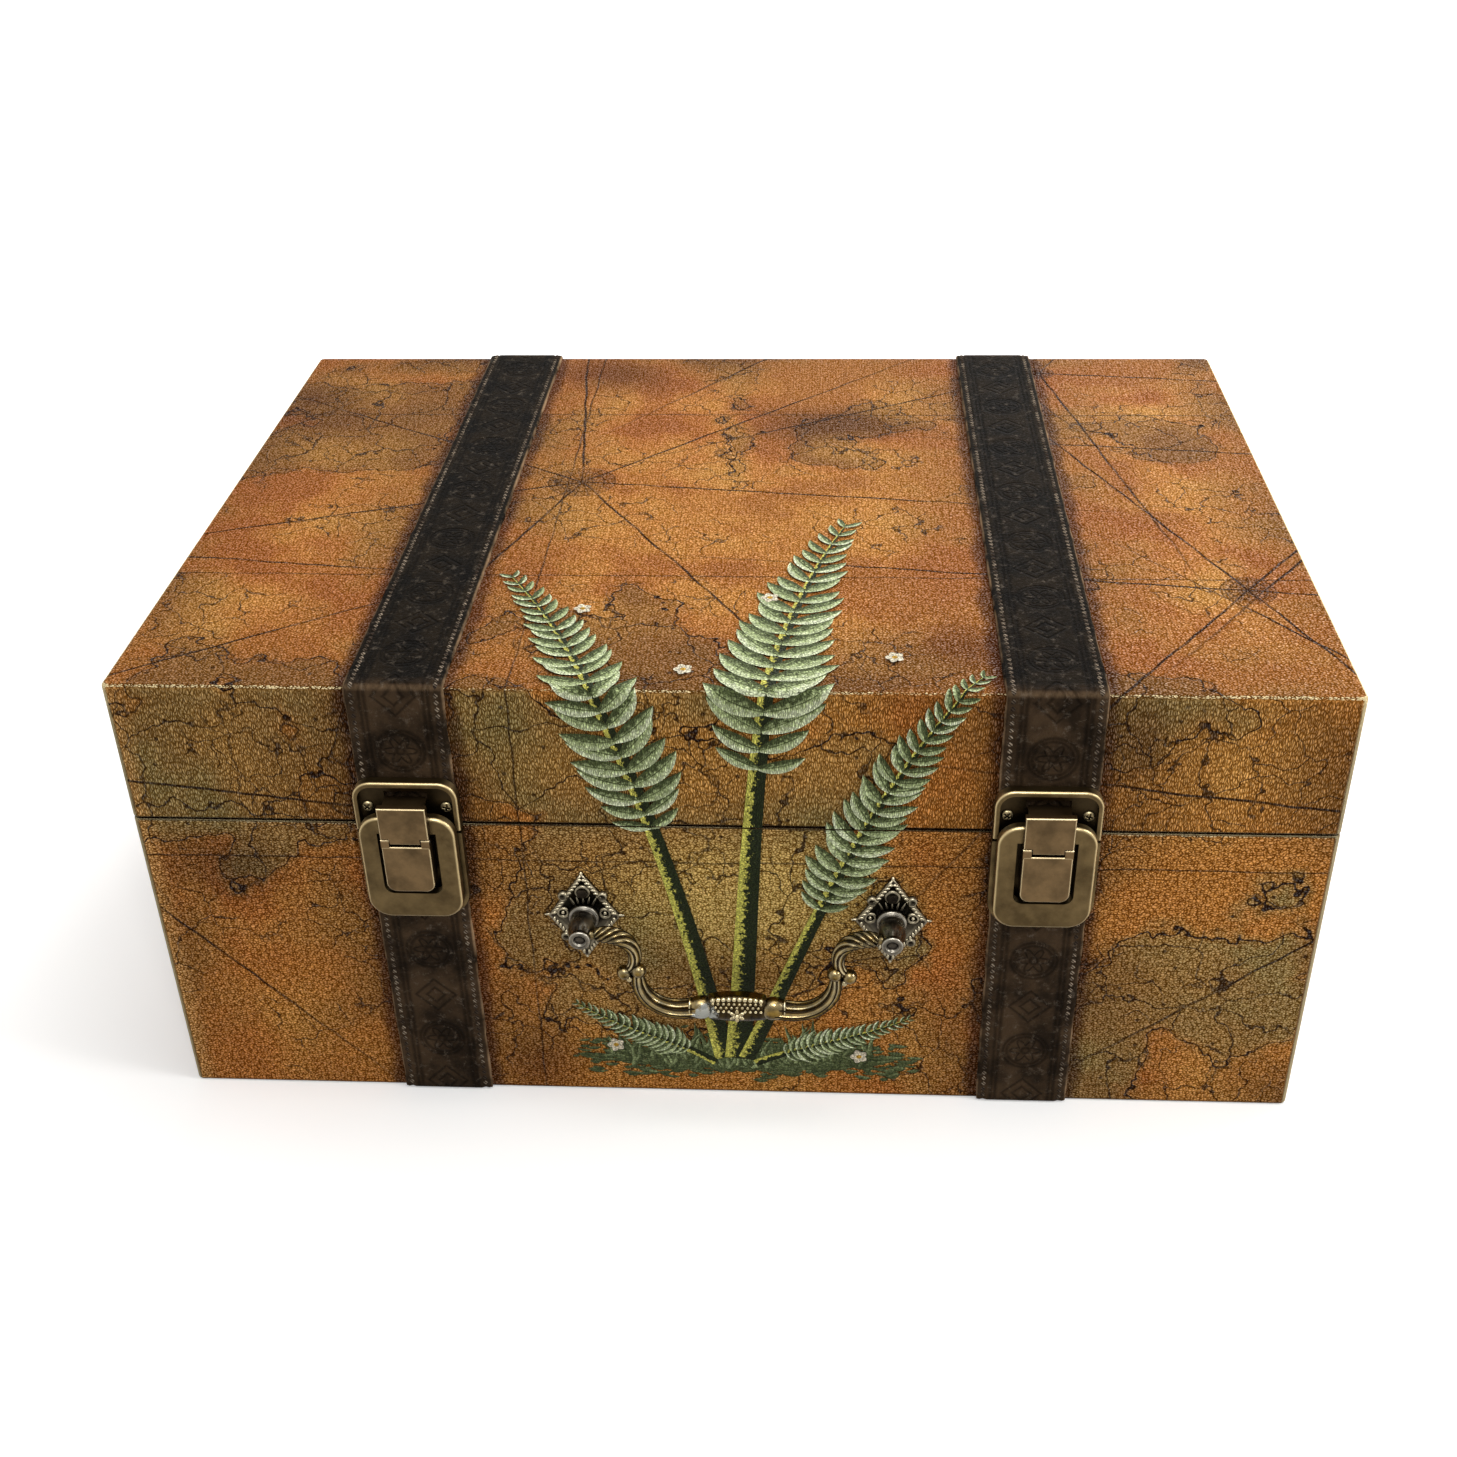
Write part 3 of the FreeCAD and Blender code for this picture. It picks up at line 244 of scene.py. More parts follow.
def hide_grain(tree, sheet, axes):
    """Pebbled grain pressed into the vinyl: height from 0 in the creases to 1 on the pebbles.
    The pebbles are about 1 mm wide, and on the sides of the lid the skin was pulled to 0.6 by 1.9 mm."""
    pull = ramp(tree, axes["Z"], SEAM - 0.5, SEAM + 0.5)
    edge = ramp(tree, axes["Z"], TOP - 2.0, TOP - 0.5, 1.0, 0.0)
    side = calc(tree, "MULTIPLY", pull, edge)
    heights = []
    for wide, tall, loose, lumpy in ((1.05, 0.9, 0.9, 0.42), (0.62, 1.9, 1.0, 0.3)):
        cells = vec(tree, "MULTIPLY", sheet, (1 / wide, 1 / tall, 0.0))
        warp = add(tree, "TexNoise", {"Vector": cells, "Scale": 0.6, "Detail": 1.0}, noise_dimensions="2D")
        cells = vec(tree, "MULTIPLY_ADD", warp.outputs["Color"], (0.9, 0.9, 0.0), cells)
        creases = add(tree, "TexVoronoi", {"Vector": cells, "Scale": 1.0, "Randomness": loose},
                      voronoi_dimensions="2D", feature="DISTANCE_TO_EDGE").outputs["Distance"]
        creases = ramp(tree, creases, 0.0, 0.4, smooth=True)
        lumps = speckle(tree, cells, 0.8, 1.0, flat=True)
        lumps = ramp(tree, lumps, 0.34, 0.66)
        heights.append(add(tree, "Mix", {"Factor": lumpy, "A": creases, "B": lumps}).outputs[0])
    return add(tree, "Mix", {"Factor": side, "A": heights[0], "B": heights[1]}).outputs[0]


leatherette, tree, shader = surface("printed leatherette")
sheet, axes, facing = unfolded(tree)
grain = hide_grain(tree, sheet, axes)

# printed ground: golden tan with redder and paler clouds
clouds = [speckle(tree, sheet, 1.0 / size, 3.0, 0.55, flat=True) for size in (120.0, 46.0, 14.0, 2.6)]
warm = ramp(tree, clouds[0], 0.38, 0.62)
pale = ramp(tree, clouds[1], 0.42, 0.7)
ground = mix(tree, warm, "#C08038", "#B66E30")
ground = mix(tree, pale, ground, "#C88F45")

# land: each coast is a rough round of the given radius, with bays and capes; millimetres inland of the shore
BAY = 38.0
BAY_DEPTH = 48.0
wave = speckle(tree, sheet, 1.0 / BAY, 4.0, 0.52, flat=True)
wave = calc(tree, "MULTIPLY_ADD", wave, 2 * BAY_DEPTH, -BAY_DEPTH)
inland = None
for u, v, radius in ((-146, 62, 44), (-30, -112, 36), (24, 54, 28), (-150, -152, 42), (-60, -150, 30),
                     (30, -158, 22), (-10, -206, 60), (152, -238, 27), (112, -262, 26), (118, -148, 16),
                     (150, 40, 16), (-100, 205, 46), (70, 232, 40), (250, 20, 48), (292, -70, 30),
                     (-262, -20, 52), (-228, 84, 26), (176, 190, 24)):
    away = vec(tree, "DISTANCE", sheet, (u, v, 0.0))
    depth = calc(tree, "SUBTRACT", float(radius), away)
    inland = depth if inland is None else calc(tree, "SMOOTH_MAX", inland, depth)
inland = calc(tree, "ADD", inland, wave)
land = ramp(tree, inland, -9.0, 7.0, smooth=True)
deep_land = ramp(tree, inland, 6.0, 44.0)
tint = mix(tree, deep_land, "#94804C", "#867848")
level_face = add(tree, "SeparateXYZ", {0: facing}).outputs["Z"]
tint = mix(tree, level_face, tint, "#866532")
wash = ramp(tree, clouds[1], 0.3, 0.68, 0.9, 0.35)
wash = calc(tree, "MULTIPLY", land, wash)
ground = mix(tree, wash, ground, tint)

# ink: fine lines for the shores, borders with town dots on land, and creeks in the parts that are surveyed
BEND = 15.0
COUNTRY = 27.0
TOWN = 15.0
shore = calc(tree, "ABSOLUTE", inland)
ink = ramp(tree, shore, 0.4, 1.0, 1.0, 0.0)
bend = add(tree, "TexNoise", {"Vector": sheet, "Scale": 1.0 / BEND, "Detail": 3.0, "Roughness": 0.5},
           noise_dimensions="2D").outputs["Color"]
border = vec(tree, "MULTIPLY_ADD", bend, (20.0, 20.0, 0.0), sheet)
border = vec(tree, "SCALE", border, 1.0 / COUNTRY)
edges = add(tree, "TexVoronoi", {"Vector": border, "Scale": 1.0}, voronoi_dimensions="2D",
            feature="DISTANCE_TO_EDGE").outputs["Distance"]
edges = ramp(tree, edges, 0.008, 0.021, 1.0, 0.0)
towns = add(tree, "TexVoronoi", {"Vector": sheet, "Scale": 1.0 / TOWN}, voronoi_dimensions="2D").outputs["Distance"]
towns = ramp(tree, towns, 0.03, 0.06, 0.9, 0.0)
edges = calc(tree, "MAXIMUM", edges, towns)
on_land = ramp(tree, inland, -12.0, 2.0, 0.08, 0.9)
edges = calc(tree, "MULTIPLY", edges, on_land)
ink = calc(tree, "MAXIMUM", ink, edges)
creeks = vec(tree, "SCALE", border, 2.1)
creeks = add(tree, "TexVoronoi", {"Vector": creeks, "Scale": 1.0}, voronoi_dimensions="2D",
             feature="DISTANCE_TO_EDGE").outputs["Distance"]
creeks = ramp(tree, creeks, 0.012, 0.034, 0.85, 0.0)
surveyed = ramp(tree, clouds[1], 0.5, 0.55)
creeks = calc(tree, "MULTIPLY", creeks, surveyed)
ink = calc(tree, "MAXIMUM", ink, creeks)

# compass roses with their bearing lines, about 1 mm wide and a little wavy, and a net of parallels;
# place, number of lines in a half turn and radius of each rose
ruled = vec(tree, "MULTIPLY_ADD", bend, (1.6, 1.6, 0.0), sheet)
for u, v, rays, rose in ((-57.0, 11.0, 7.0, 12.0), (162.0, -67.0, 6.0, 9.0), (114.0, 115.0, 5.0, 6.0),
                         (-232.0, -158.0, 9.0, 0.1), (236.0, -176.0, 8.0, 0.1), (60.0, 205.0, 6.0, 9.0),
                         (240.0, 30.0, 6.0, 8.0), (-250.0, -40.0, 6.0, 9.0)):
    arm = vec(tree, "SUBTRACT", ruled, (u, v, 0.0))
    reach = vec(tree, "LENGTH", arm)
    parts = add(tree, "SeparateXYZ", {0: arm}).outputs
    angle = calc(tree, "ARCTAN2", parts["Y"], parts["X"])
    angle = calc(tree, "ADD", angle, 0.12)
    off = calc(tree, "PINGPONG", angle, math.pi / rays)
    off = calc(tree, "MULTIPLY", off, reach)
    line = ramp(tree, off, 0.3, 0.62, 0.95, 0.0)
    fade = ramp(tree, reach, 110.0, 210.0, 1.0, 0.0)
    line = calc(tree, "MULTIPLY", line, fade)
    ink = calc(tree, "MAXIMUM", ink, line)
    point = calc(tree, "PINGPONG", angle, math.pi / 16.0)
    point = calc(tree, "MULTIPLY", point, reach)
    point = ramp(tree, point, 0.25, 0.6, 0.7, 0.0)
    rings = calc(tree, "PINGPONG", reach, rose / 6.0)
    rings = ramp(tree, rings, 0.2, 0.6, 0.7, 0.3)
    drawn = calc(tree, "MAXIMUM", rings, point)
    inside = calc(tree, "LESS_THAN", reach, rose)
    drawn = calc(tree, "MULTIPLY", drawn, inside)
    ink = calc(tree, "MAXIMUM", ink, drawn)
grid = add(tree, "SeparateXYZ", {0: ruled}).outputs
for axis, spacing, start in (("X", 74.0, 62.0), ("Y", 66.0, 60.0)):
    line = calc(tree, "ADD", grid[axis], start)
    line = calc(tree, "PINGPONG", line, spacing)
    line = ramp(tree, line, 0.15, 0.45, 0.8, 0.0)
    ink = calc(tree, "MAXIMUM", ink, line)
rubbed = ramp(tree, clouds[2], 0.34, 0.5, 0.7, 1.0)
ink = calc(tree, "MULTIPLY", ink, rubbed)

# hand shading: brown sponged along the edges of each face, beside the straps and in a few soft clouds
sides_out = calc(tree, "ABSOLUTE", axes["X"])
from_strap = apart(tree, sides_out, STRAP_CENTRE)
ragged = calc(tree, "MULTIPLY_ADD", clouds[2], 5.0, -2.5)
from_strap = calc(tree, "ADD", from_strap, ragged)
# a dark reddish band from 1 to 5.5 mm out from the sides of each strap, ragged at its edge
dark_band_by_strap = ramp(tree, from_strap, STRAP_HALF + 1.0, STRAP_HALF + 5.5, 0.72, 0.0, smooth=True)
haze = ramp(tree, from_strap, STRAP_HALF, STRAP_HALF + 36.0, 0.6, 0.0)
corner = ramp(tree, sides_out, HALF_WIDTH - 2.0, HALF_WIDTH - 0.8, 0.0, 0.7, smooth=True)
faded = ramp(tree, axes["X"], -HALF_WIDTH + 1.5, -HALF_WIDTH + 9.0, 0.75, 0.0, smooth=True)
corner = calc(tree, "MAXIMUM", corner, faded)
sides = ramp(tree, sides_out, HALF_WIDTH - 30.0, HALF_WIDTH - 3.0, 0.0, 0.6)
ends = calc(tree, "ABSOLUTE", axes["Y"])
ends = ramp(tree, ends, HALF_DEPTH - 46.0, HALF_DEPTH - 3.0, 0.0, 0.75)
ends = calc(tree, "MULTIPLY", ends, level_face)
haze = calc(tree, "MAXIMUM", haze, sides)
haze = calc(tree, "MAXIMUM", haze, ends)
patchy = ramp(tree, clouds[1], 0.36, 0.6, 0.05, 1.0)
haze = calc(tree, "MULTIPLY", haze, patchy)
for u, v, wide, deep in ((66.0, -112.0, 62.0, 34.0), (-172.0, 78.0, 40.0, 70.0), (-58.0, 112.0, 40.0, 34.0),
                         (-160.0, -196.0, 40.0, 24.0), (30.0, 62.0, 46.0, 26.0), (120.0, -150.0, 16.0, 34.0),
                         (-66.0, -274.0, 26.0, 32.0)):
    cloud = ramp(tree, patch(tree, sheet, u, v, wide, deep), 0.1, 1.0, 0.62, 0.0, smooth=True)
    haze = calc(tree, "MAXIMUM", haze, cloud)

# tone: a paler patch high on the body's front, which is a painted pool of light, and a golden-brown one on the lid's
# front, darker clouds on level faces under the sponged brown, then pale skin along the upright corners and a dark
# band beside the straps
# the first patch is a painted pool of light; the second is a paler tone of the print
for u, v, wide, deep, most, colour in ((8.0, -206.0, 62.0, 32.0, 0.72, "#D8B666"),
                                       (-6.0, -157.0, 82.0, 21.0, 0.66, "#C78F45")):
    bare = ramp(tree, patch(tree, sheet, u, v, wide, deep), 0.3, 1.0, most, 0.0, smooth=True)
    ground = mix(tree, bare, ground, colour)
dusk = ramp(tree, clouds[1], 0.36, 0.54, 0.4, 0.0, smooth=True)
dusk = calc(tree, "MULTIPLY", dusk, level_face)
ground = mix(tree, dusk, ground, "#7A4420")
shaded = mix(tree, haze, ground, "#4C2911")
upright = calc(tree, "SUBTRACT", 1.0, level_face)
corner = calc(tree, "MULTIPLY", corner, upright)
shaded = mix(tree, corner, shaded, "#CE9A58")
ridge = calc(tree, "ABSOLUTE", add(tree, "SeparateXYZ", {0: facing}).outputs["Y"])
bared = ramp(tree, sides_out, HALF_WIDTH - 1.9, HALF_WIDTH - 1.2)
ridge = calc(tree, "MULTIPLY", ridge, bared)
bared = ramp(tree, clouds[2], 0.34, 0.56, 0.3, 0.95)
ridge = calc(tree, "MULTIPLY", ridge, bared)
shaded = mix(tree, ridge, shaded, "#F0D8A0")
shaded = mix(tree, dark_band_by_strap, shaded, "#35140B")

# creases darkened, partly by a dark wash left in them and partly as painted shade, and pebble tops lightened and
# whitened as a painted glint; then ink, a painted shadow in the seam gap, and the skin rubbed pale along the folded
# edges and the seam
crease_shade_and_pebble_glint = ramp(tree, grain, 0.15, 0.85)
crease_shade_and_pebble_glint = mix(tree, crease_shade_and_pebble_glint, (0.3, 0.22, 0.12, 1), (1.6, 1.65, 1.75, 1))
# the painted crease shade and pebble glint are muted a little on the body, more on the lid and most on level faces
muted_grain_light = ramp(tree, axes["Z"], SEAM - 0.5, SEAM + 0.5, 0.05, 0.15)
muted_on_level_faces = ramp(tree, level_face, 0.0, 1.0, 0.0, 0.3)
muted_grain_light = calc(tree, "MAXIMUM", muted_grain_light, muted_on_level_faces)
crease_shade_and_pebble_glint = mix(tree, muted_grain_light, crease_shade_and_pebble_glint, (0.92, 0.9, 0.88, 1))
shaded = mix(tree, 1.0, shaded, crease_shade_and_pebble_glint, "MULTIPLY")
shaded = mix(tree, ink, shaded, "#241206")
fold = ramp(tree, flatness(tree, facing)[0], 0.8, 0.985, 1.0, 0.0)
gap = calc(tree, "SUBTRACT", axes["Z"], SEAM)
# painted shadow along the seam gap, fading out about 1 mm from it
seam_shadow = ramp(tree, calc(tree, "ABSOLUTE", gap), 0.35, 1.0, 0.9, 0.0)
shaded = mix(tree, seam_shadow, shaded, "#1C0F06")
lip = ramp(tree, apart(tree, gap, -0.9), 0.15, 0.45, 0.38, 0.0)
fold = calc(tree, "MAXIMUM", fold, lip)
scuff = ramp(tree, clouds[1], 0.42, 0.6, 0.4, 0.8)
handled = ramp(tree, sides_out, 100.0, 135.0, 0.0, 0.6)
scuff = calc(tree, "ADD", scuff, handled)
knocked = ramp(tree, sides_out, HALF_WIDTH - 2.5, HALF_WIDTH - 1.2)
scuff = calc(tree, "ADD", scuff, knocked)
dashes = ramp(tree, clouds[3], 0.4, 0.6, 0.5, 1.1)
dots = ramp(tree, grain, 0.25, 0.6)
dots = calc(tree, "MAXIMUM", dots, knocked)
dashes = calc(tree, "MULTIPLY", dashes, dots)
rub = calc(tree, "MULTIPLY", fold, scuff)
rub = calc(tree, "MULTIPLY", rub, dashes)
rub = ramp(tree, rub, 0.2, 0.5)
skin = mix(tree, rub, shaded, "#F4DDA8")
gloss = ramp(tree, grain, 0.0, 1.0, 0.7, 0.42)
shine = ramp(tree, grain, 0.4, 0.9, 0.0, 0.4)
pebbles = add(tree, "Bump", {"Height": grain, "Strength": 1.0, "Distance": 0.0006}).outputs[0]
feed(tree, shader, {"Base Color": skin, "Roughness": gloss, "Specular IOR Level": shine, "Normal": pebbles})
for name in ("body_cover", "lid_cover"):
    finish(nodes[name], leatherette)


# Lining and underlay
# Dark brown flocked paper glued inside body and lid, and a felt sheet glued under the floor. Both are
# matt and soft, with short fibres lying every way.

flock, tree, shader = surface("brown flocked paper")
spot = add(tree, "TexCoord").outputs["Object"]
fluff = speckle(tree, spot, 1400.0, 3.0, 0.7)
brushed = speckle(tree, spot, 30.0, 3.0)
tone = mix(tree, brushed, "#3C2A1C", "#553E2A")
tone = mix(tree, fluff, "#24180F", tone)
nap = add(tree, "Bump", {"Height": fluff, "Strength": 0.5, "Distance": 0.0003}).outputs[0]
feed(tree, shader, {"Base Color": tone, "Normal": nap, "Roughness": 0.95, "Specular IOR Level": 0.05,
                    "Sheen Weight": 0.06})
for name in ("body_lining", "lid_lining", "body_underlay"):
    finish(nodes[name], flock)


# Painted ferns
# Acrylic brushed by hand over the print, from a dark tuft low on the front up over the lid: bare stems,
# then pairs of narrow leaflets and a few small blossoms. The first stroke lies FILM mm above the print and
# each later one COAT mm higher. The film is cut at the seam.

EDGE = 1.2
FILM = 0.03
COAT = 0.0004
DABS = 1300
BLADES = 140
BODY_RIM = -HALF_DEPTH - (TOP - SEAM) - 0.25
LID_RIM = BODY_RIM + 0.5


def on_chest(flat):
    """Fold a point of the flat sheet (u, v and height above it, mm) over the chest, in metres."""
    u, v, lift = flat
    past = abs(v) - HALF_DEPTH
    if past <= -EDGE:
        y, z = abs(v), TOP + lift
    elif past >= EDGE:
        y, z = HALF_DEPTH + lift, TOP - past
    else:
        turn = (past + EDGE) / (2 * EDGE) * math.pi / 2
        y = HALF_DEPTH - EDGE + (EDGE + lift) * math.sin(turn)
        z = TOP - EDGE + (EDGE + lift) * math.cos(turn)
    return Vector((u, math.copysign(y, v), z)) / MM


def fold_over(flat_mesh):
    """Cut a flat mesh along the folds at the lid's edges, keep its flat place as a map and lay it on."""
    for side in (-1, 1):
        for step in range(7):
            place = side * (HALF_DEPTH - EDGE + step * EDGE / 3)
            geometry = flat_mesh.verts[:] + flat_mesh.edges[:] + flat_mesh.faces[:]
            bmesh.ops.bisect_plane(flat_mesh, geom=geometry, dist=1e-5, plane_co=(0, place, 0), plane_no=(0, 1, 0))
    laid = flat_mesh.loops.layers.uv.new("laid flat")
    for face in flat_mesh.faces:
        for loop in face.loops:
            loop[laid].uv = loop.vert.co.xy
    for vert in flat_mesh.verts:
        vert.co = on_chest(vert.co)


def piece_from(mesh, name, body, *materials):
    """Turn a finished bmesh into a smooth-shaded object that rides on a body."""
    data = bpy.data.meshes.new(name)
    for face in mesh.faces:
        face.smooth = True
    mesh.to_mesh(data)
    mesh.free()
    piece = bpy.data.objects.new(name, data)
    scene.collection.objects.link(piece)
    for material in materials:
        data.materials.append(material)
    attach(piece, body)
    return piece


film = bmesh.new()
film.loops.layers.uv.new("stroke")
tone_layer = film.verts.layers.float.new("tone")
brush = random.Random(5)
layers = 0


def along_path(path, t):
    """Point at t on a smooth path through four handles."""
    a, b, c, d = path
    return a * (1 - t) ** 3 + b * 3 * t * (1 - t) ** 2 + c * 3 * t * t * (1 - t) + d * t ** 3


def stroke(path, width, tone, parts=8, lit=1):
    """One brush stroke along a path, with a width for each handle, lit on its left (1) or right (-1)."""
    global layers
    layers += 1
    for vert in bmesh.ops.create_grid(film, x_segments=4, y_segments=parts, size=0.5, calc_uvs=True)["verts"]:
        t = vert.co.y + 0.5
        ahead = along_path(path, min(t + 0.02, 1.0)) - along_path(path, max(t - 0.02, 0.0))
        across = Vector((ahead.y, -ahead.x)).normalized() * lit
        spot = along_path(path, t) + across * vert.co.x * along_path(width, t)
        vert.co = (spot.x, spot.y, FILM + COAT * layers)
        vert[tone_layer] = tone


def arched(start, end, rise):
    """A plain arched path from start to end."""
    up = Vector((end.y - start.y, start.x - end.x)) * rise
    return start, start.lerp(end, 0.33) + up, start.lerp(end, 0.7) + up, end


for _ in range(DABS):
    start = Vector((brush.triangular(-54, 60, 4), brush.gauss(-273, 3.2)))
    end = start + Vector((brush.uniform(2, 6), brush.uniform(-1, 1)))
    thick = brush.uniform(1.2, 2.8)
    stroke(arched(start, end, 0.1), (0.4, thick, thick, 0.3), brush.uniform(0.0, 0.14), 3)
for _ in range(BLADES):
    start = Vector((brush.triangular(-46, 56, 4), brush.uniform(-278, -268)))
    end = start + Vector((brush.uniform(-6, 6), brush.uniform(4, 13)))
    stroke(arched(start, end, brush.uniform(-0.2, 0.2)), (1.6, 1.8, 1.2, 0.1), brush.uniform(0.02, 0.3), 4)
fronds = (((-2, -273), (-12, -215), (-30, -128), (-72, -62), 19.0, 0.46),
          ((2, -273), (8, -210), (6, -110), (36, -24), 23.0, 0.5),
          ((5, -273), (24, -226), (40, -168), (76, -122), 15.0, 0.42),
          ((-5, -275), (-16, -266), (-34, -262), (-50, -250), 8.0, 0.25),
          ((8, -275), (20, -268), (40, -264), (58, -254), 8.0, 0.25))
for *path, longest, bare in fronds:
    path = [Vector(handle) for handle in path]
    thick = longest * 0.36
    stroke(path, (thick, thick * 0.85, thick * 0.5, 0.5), 4.0, 60)
    pairs = round((path[3] - path[0]).length * (1 - bare) / (longest * 0.27))
    for pair in range(pairs + 1):
        t = bare + (1 - bare) * pair / (pairs + 0.3)
        here = along_path(path, t)
        ahead = (along_path(path, min(t + 0.03, 1.0)) - along_path(path, t - 0.03)).normalized()
        share = (t - bare) / (1 - bare)
        length = longest * (1.0 - 0.72 * share ** 1.6) * min(1.0, 0.6 + share * 3)
        for side in (-1, 1):
            lean = math.radians(brush.uniform(56, 70) - 26 * share) * side
            end = here + Matrix.Rotation(lean, 2) @ ahead * length * brush.uniform(0.88, 1.06)
            leaf = arched(here, end, side * brush.uniform(-0.14, -0.04))
            width = length * 0.33
            stroke(leaf, (width * 0.3, width * 1.4, width * 1.1, 0.1), brush.uniform(0.4, 0.75), 8, side)
            stroke(leaf, (0.3, 0.5, 0.5, 0.1), brush.uniform(0.05, 0.2), 6, side)
for u, v in ((-46, -84), (12, -76), (50, -112), (-12, -120), (-38, -268), (42, -271)):
    heart = Vector((u, v))
    for petal in range(5):
        out = Matrix.Rotation(math.radians(72 * petal + 20), 2) @ Vector((0, 2.9))
        stroke((heart, heart + out * 0.3, heart + out * 0.7, heart + out), (0.5, 2.8, 3.2, 0.6), 2.0, 4)
    stroke(arched(heart - Vector((0.9, 0)), heart + Vector((0.9, 0)), 0.0), (0.5, 2.2, 2.2, 0.5), 3.0, 4)

acrylic, tree, shader = surface("brushed acrylic paint")
sheet = add(tree, "UVMap", uv_map="laid flat").outputs[0]
spot = in_mm(tree)
grain = hide_grain(tree, sheet, add(tree, "SeparateXYZ", {0: spot}).outputs)
tone = add(tree, "Attribute", attribute_name="tone").outputs["Fac"]
across = add(tree, "SeparateXYZ", {0: add(tree, "UVMap", uv_map="stroke").outputs[0]}).outputs["X"]
bristle = speckle(tree, sheet, 1.0 / 1.5, 3.0, 0.65, flat=True)
lit = calc(tree, "MULTIPLY_ADD", bristle, 1.1, -0.55)
lit = calc(tree, "ADD", lit, across)
lit = ramp(tree, lit, 0.1, 0.75, 1.0, 0.0)
mixed = calc(tree, "MULTIPLY", lit, tone)
low = ramp(tree, mixed, 0.0, 0.3)
high = ramp(tree, mixed, 0.3, 0.75)
green = mix(tree, low, "#4A5330", "#B0BE86")
green = mix(tree, high, green, "#EAF0CC")
for level, colour in ((1.5, "#E4D9BE"), (2.5, "#C69A3A")):
    above = calc(tree, "GREATER_THAN", tone, level)
    green = mix(tree, above, green, colour)
stalk = calc(tree, "GREATER_THAN", tone, 3.5)
sunny = ramp(tree, lit, 0.52, 0.7)
rind = mix(tree, sunny, "#20270F", "#CFC95E")
green = mix(tree, stalk, green, rind)
# the paint takes the same painted shade in the creases and painted highlight on the pebbles as the print under it
crease_shade_and_pebble_glint = ramp(tree, grain, 0.15, 0.85, 0.55, 1.35)
green = mix(tree, 1.0, green, crease_shade_and_pebble_glint, "MULTIPLY")
pebbles = add(tree, "Bump", {"Height": grain, "Strength": 1.0, "Distance": 0.0006}).outputs[0]
feed(tree, shader, {"Base Color": green, "Normal": pebbles, "Roughness": 0.55, "Specular IOR Level": 0.08})

lid_film = film.copy()
for mesh, rim, upper, name, body in ((film, BODY_RIM, False, "body_ferns", "body"),
                                     (lid_film, LID_RIM, True, "lid_ferns", "lid")):
    geometry = mesh.verts[:] + mesh.edges[:] + mesh.faces[:]
    bmesh.ops.bisect_plane(mesh, geom=geometry, dist=1e-5, plane_co=(0, rim, 0), plane_no=(0, 1, 0),
                           clear_inner=upper, clear_outer=not upper)
    fold_over(mesh)
    piece_from(mesh, name, body, acrylic)


# Straps
# Tooled leather 30 mm wide and 1.6 mm thick, glued on: one over the lid, one down the body's front and one
# down its back. The edges are cut by hand and sewn along both sides with waxed thread.

STITCH = 2.4
UNSEWN = 2.0
SEWN = STRAP_HALF - 2.5
SUNK_SEAM = 0.45
STRAP_THICK = 1.6


def sewn_strap(name, body, centre, start, end):
    """A strap laid flat between two places along the sheet, with its stitches, then folded on."""
    strap = bmesh.new()
    length = end - start
    middle = Matrix.Translation((centre, (start + end) / 2, STRAP_THICK))
    shape = middle @ Matrix.Diagonal((STRAP_HALF, length / 2, 1, 1))
    bmesh.ops.create_grid(strap, x_segments=24, y_segments=round(length / 2.5), size=1.0, matrix=shape)
    for vert in strap.verts:
        across = (vert.co.x - centre) / STRAP_HALF
        wander = noise.noise((vert.co.y * 0.13, across * 0.2, centre))
        wander += 0.6 * noise.noise((vert.co.y * 0.5, across, 3.0))
        vert.co.x -= across ** 8 * (0.35 + 0.35 * wander) * (1 if across > 0 else -1)
        vert.co.z -= 0.45 * abs(across) ** 14
        vert.co.z -= 0.06 - 0.06 * noise.noise((vert.co.x * 0.2, vert.co.y * 0.2, 1.0))
        if abs(abs(vert.co.x - centre) - SEWN) < 0.8:
            vert.co.z -= SUNK_SEAM
    skirt = bmesh.ops.extrude_edge_only(strap, edges=[e for e in strap.edges if e.is_boundary])["geom"]
    for vert in skirt:
        if isinstance(vert, bmesh.types.BMVert):
            vert.co.z = 0.0
    bmesh.ops.recalc_face_normals(strap, faces=strap.faces)
    leather_faces = set(strap.faces)
    sewn = length - 2 * UNSEWN
    count = round(sewn / STITCH)
    for row in (-SEWN, SEWN):
        thread = Matrix.Translation((centre + row, start + UNSEWN, STRAP_THICK - 0.75))
        thread = thread @ Matrix.Diagonal((1.0, 1.0, 0.72, 1))
        stitch = bmesh.ops.create_uvsphere(strap, u_segments=6, v_segments=4, radius=1.0, matrix=thread)["verts"]
        stitch = stitch + list({f for v in stitch for f in v.link_faces})
        bmesh.ops.spin(strap, geom=stitch, axis=(0, 0, 1), angle=0.0, steps=count, use_duplicate=True,
                       dvec=(0, sewn / count, 0))
    for face in strap.faces:
        if face not in leather_faces:
            face.material_index = 1
    fold_over(strap)
    piece = piece_from(strap, name + "_sewn", body, tooled_leather, waxed_thread)
    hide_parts(name)


tooled_leather, tree, shader = surface("tooled strap leather")
sheet = add(tree, "UVMap", uv_map="laid flat").outputs[0]
flat = add(tree, "SeparateXYZ", {0: sheet}).outputs
across = apart(tree, calc(tree, "ABSOLUTE", flat["X"]), STRAP_CENTRE)

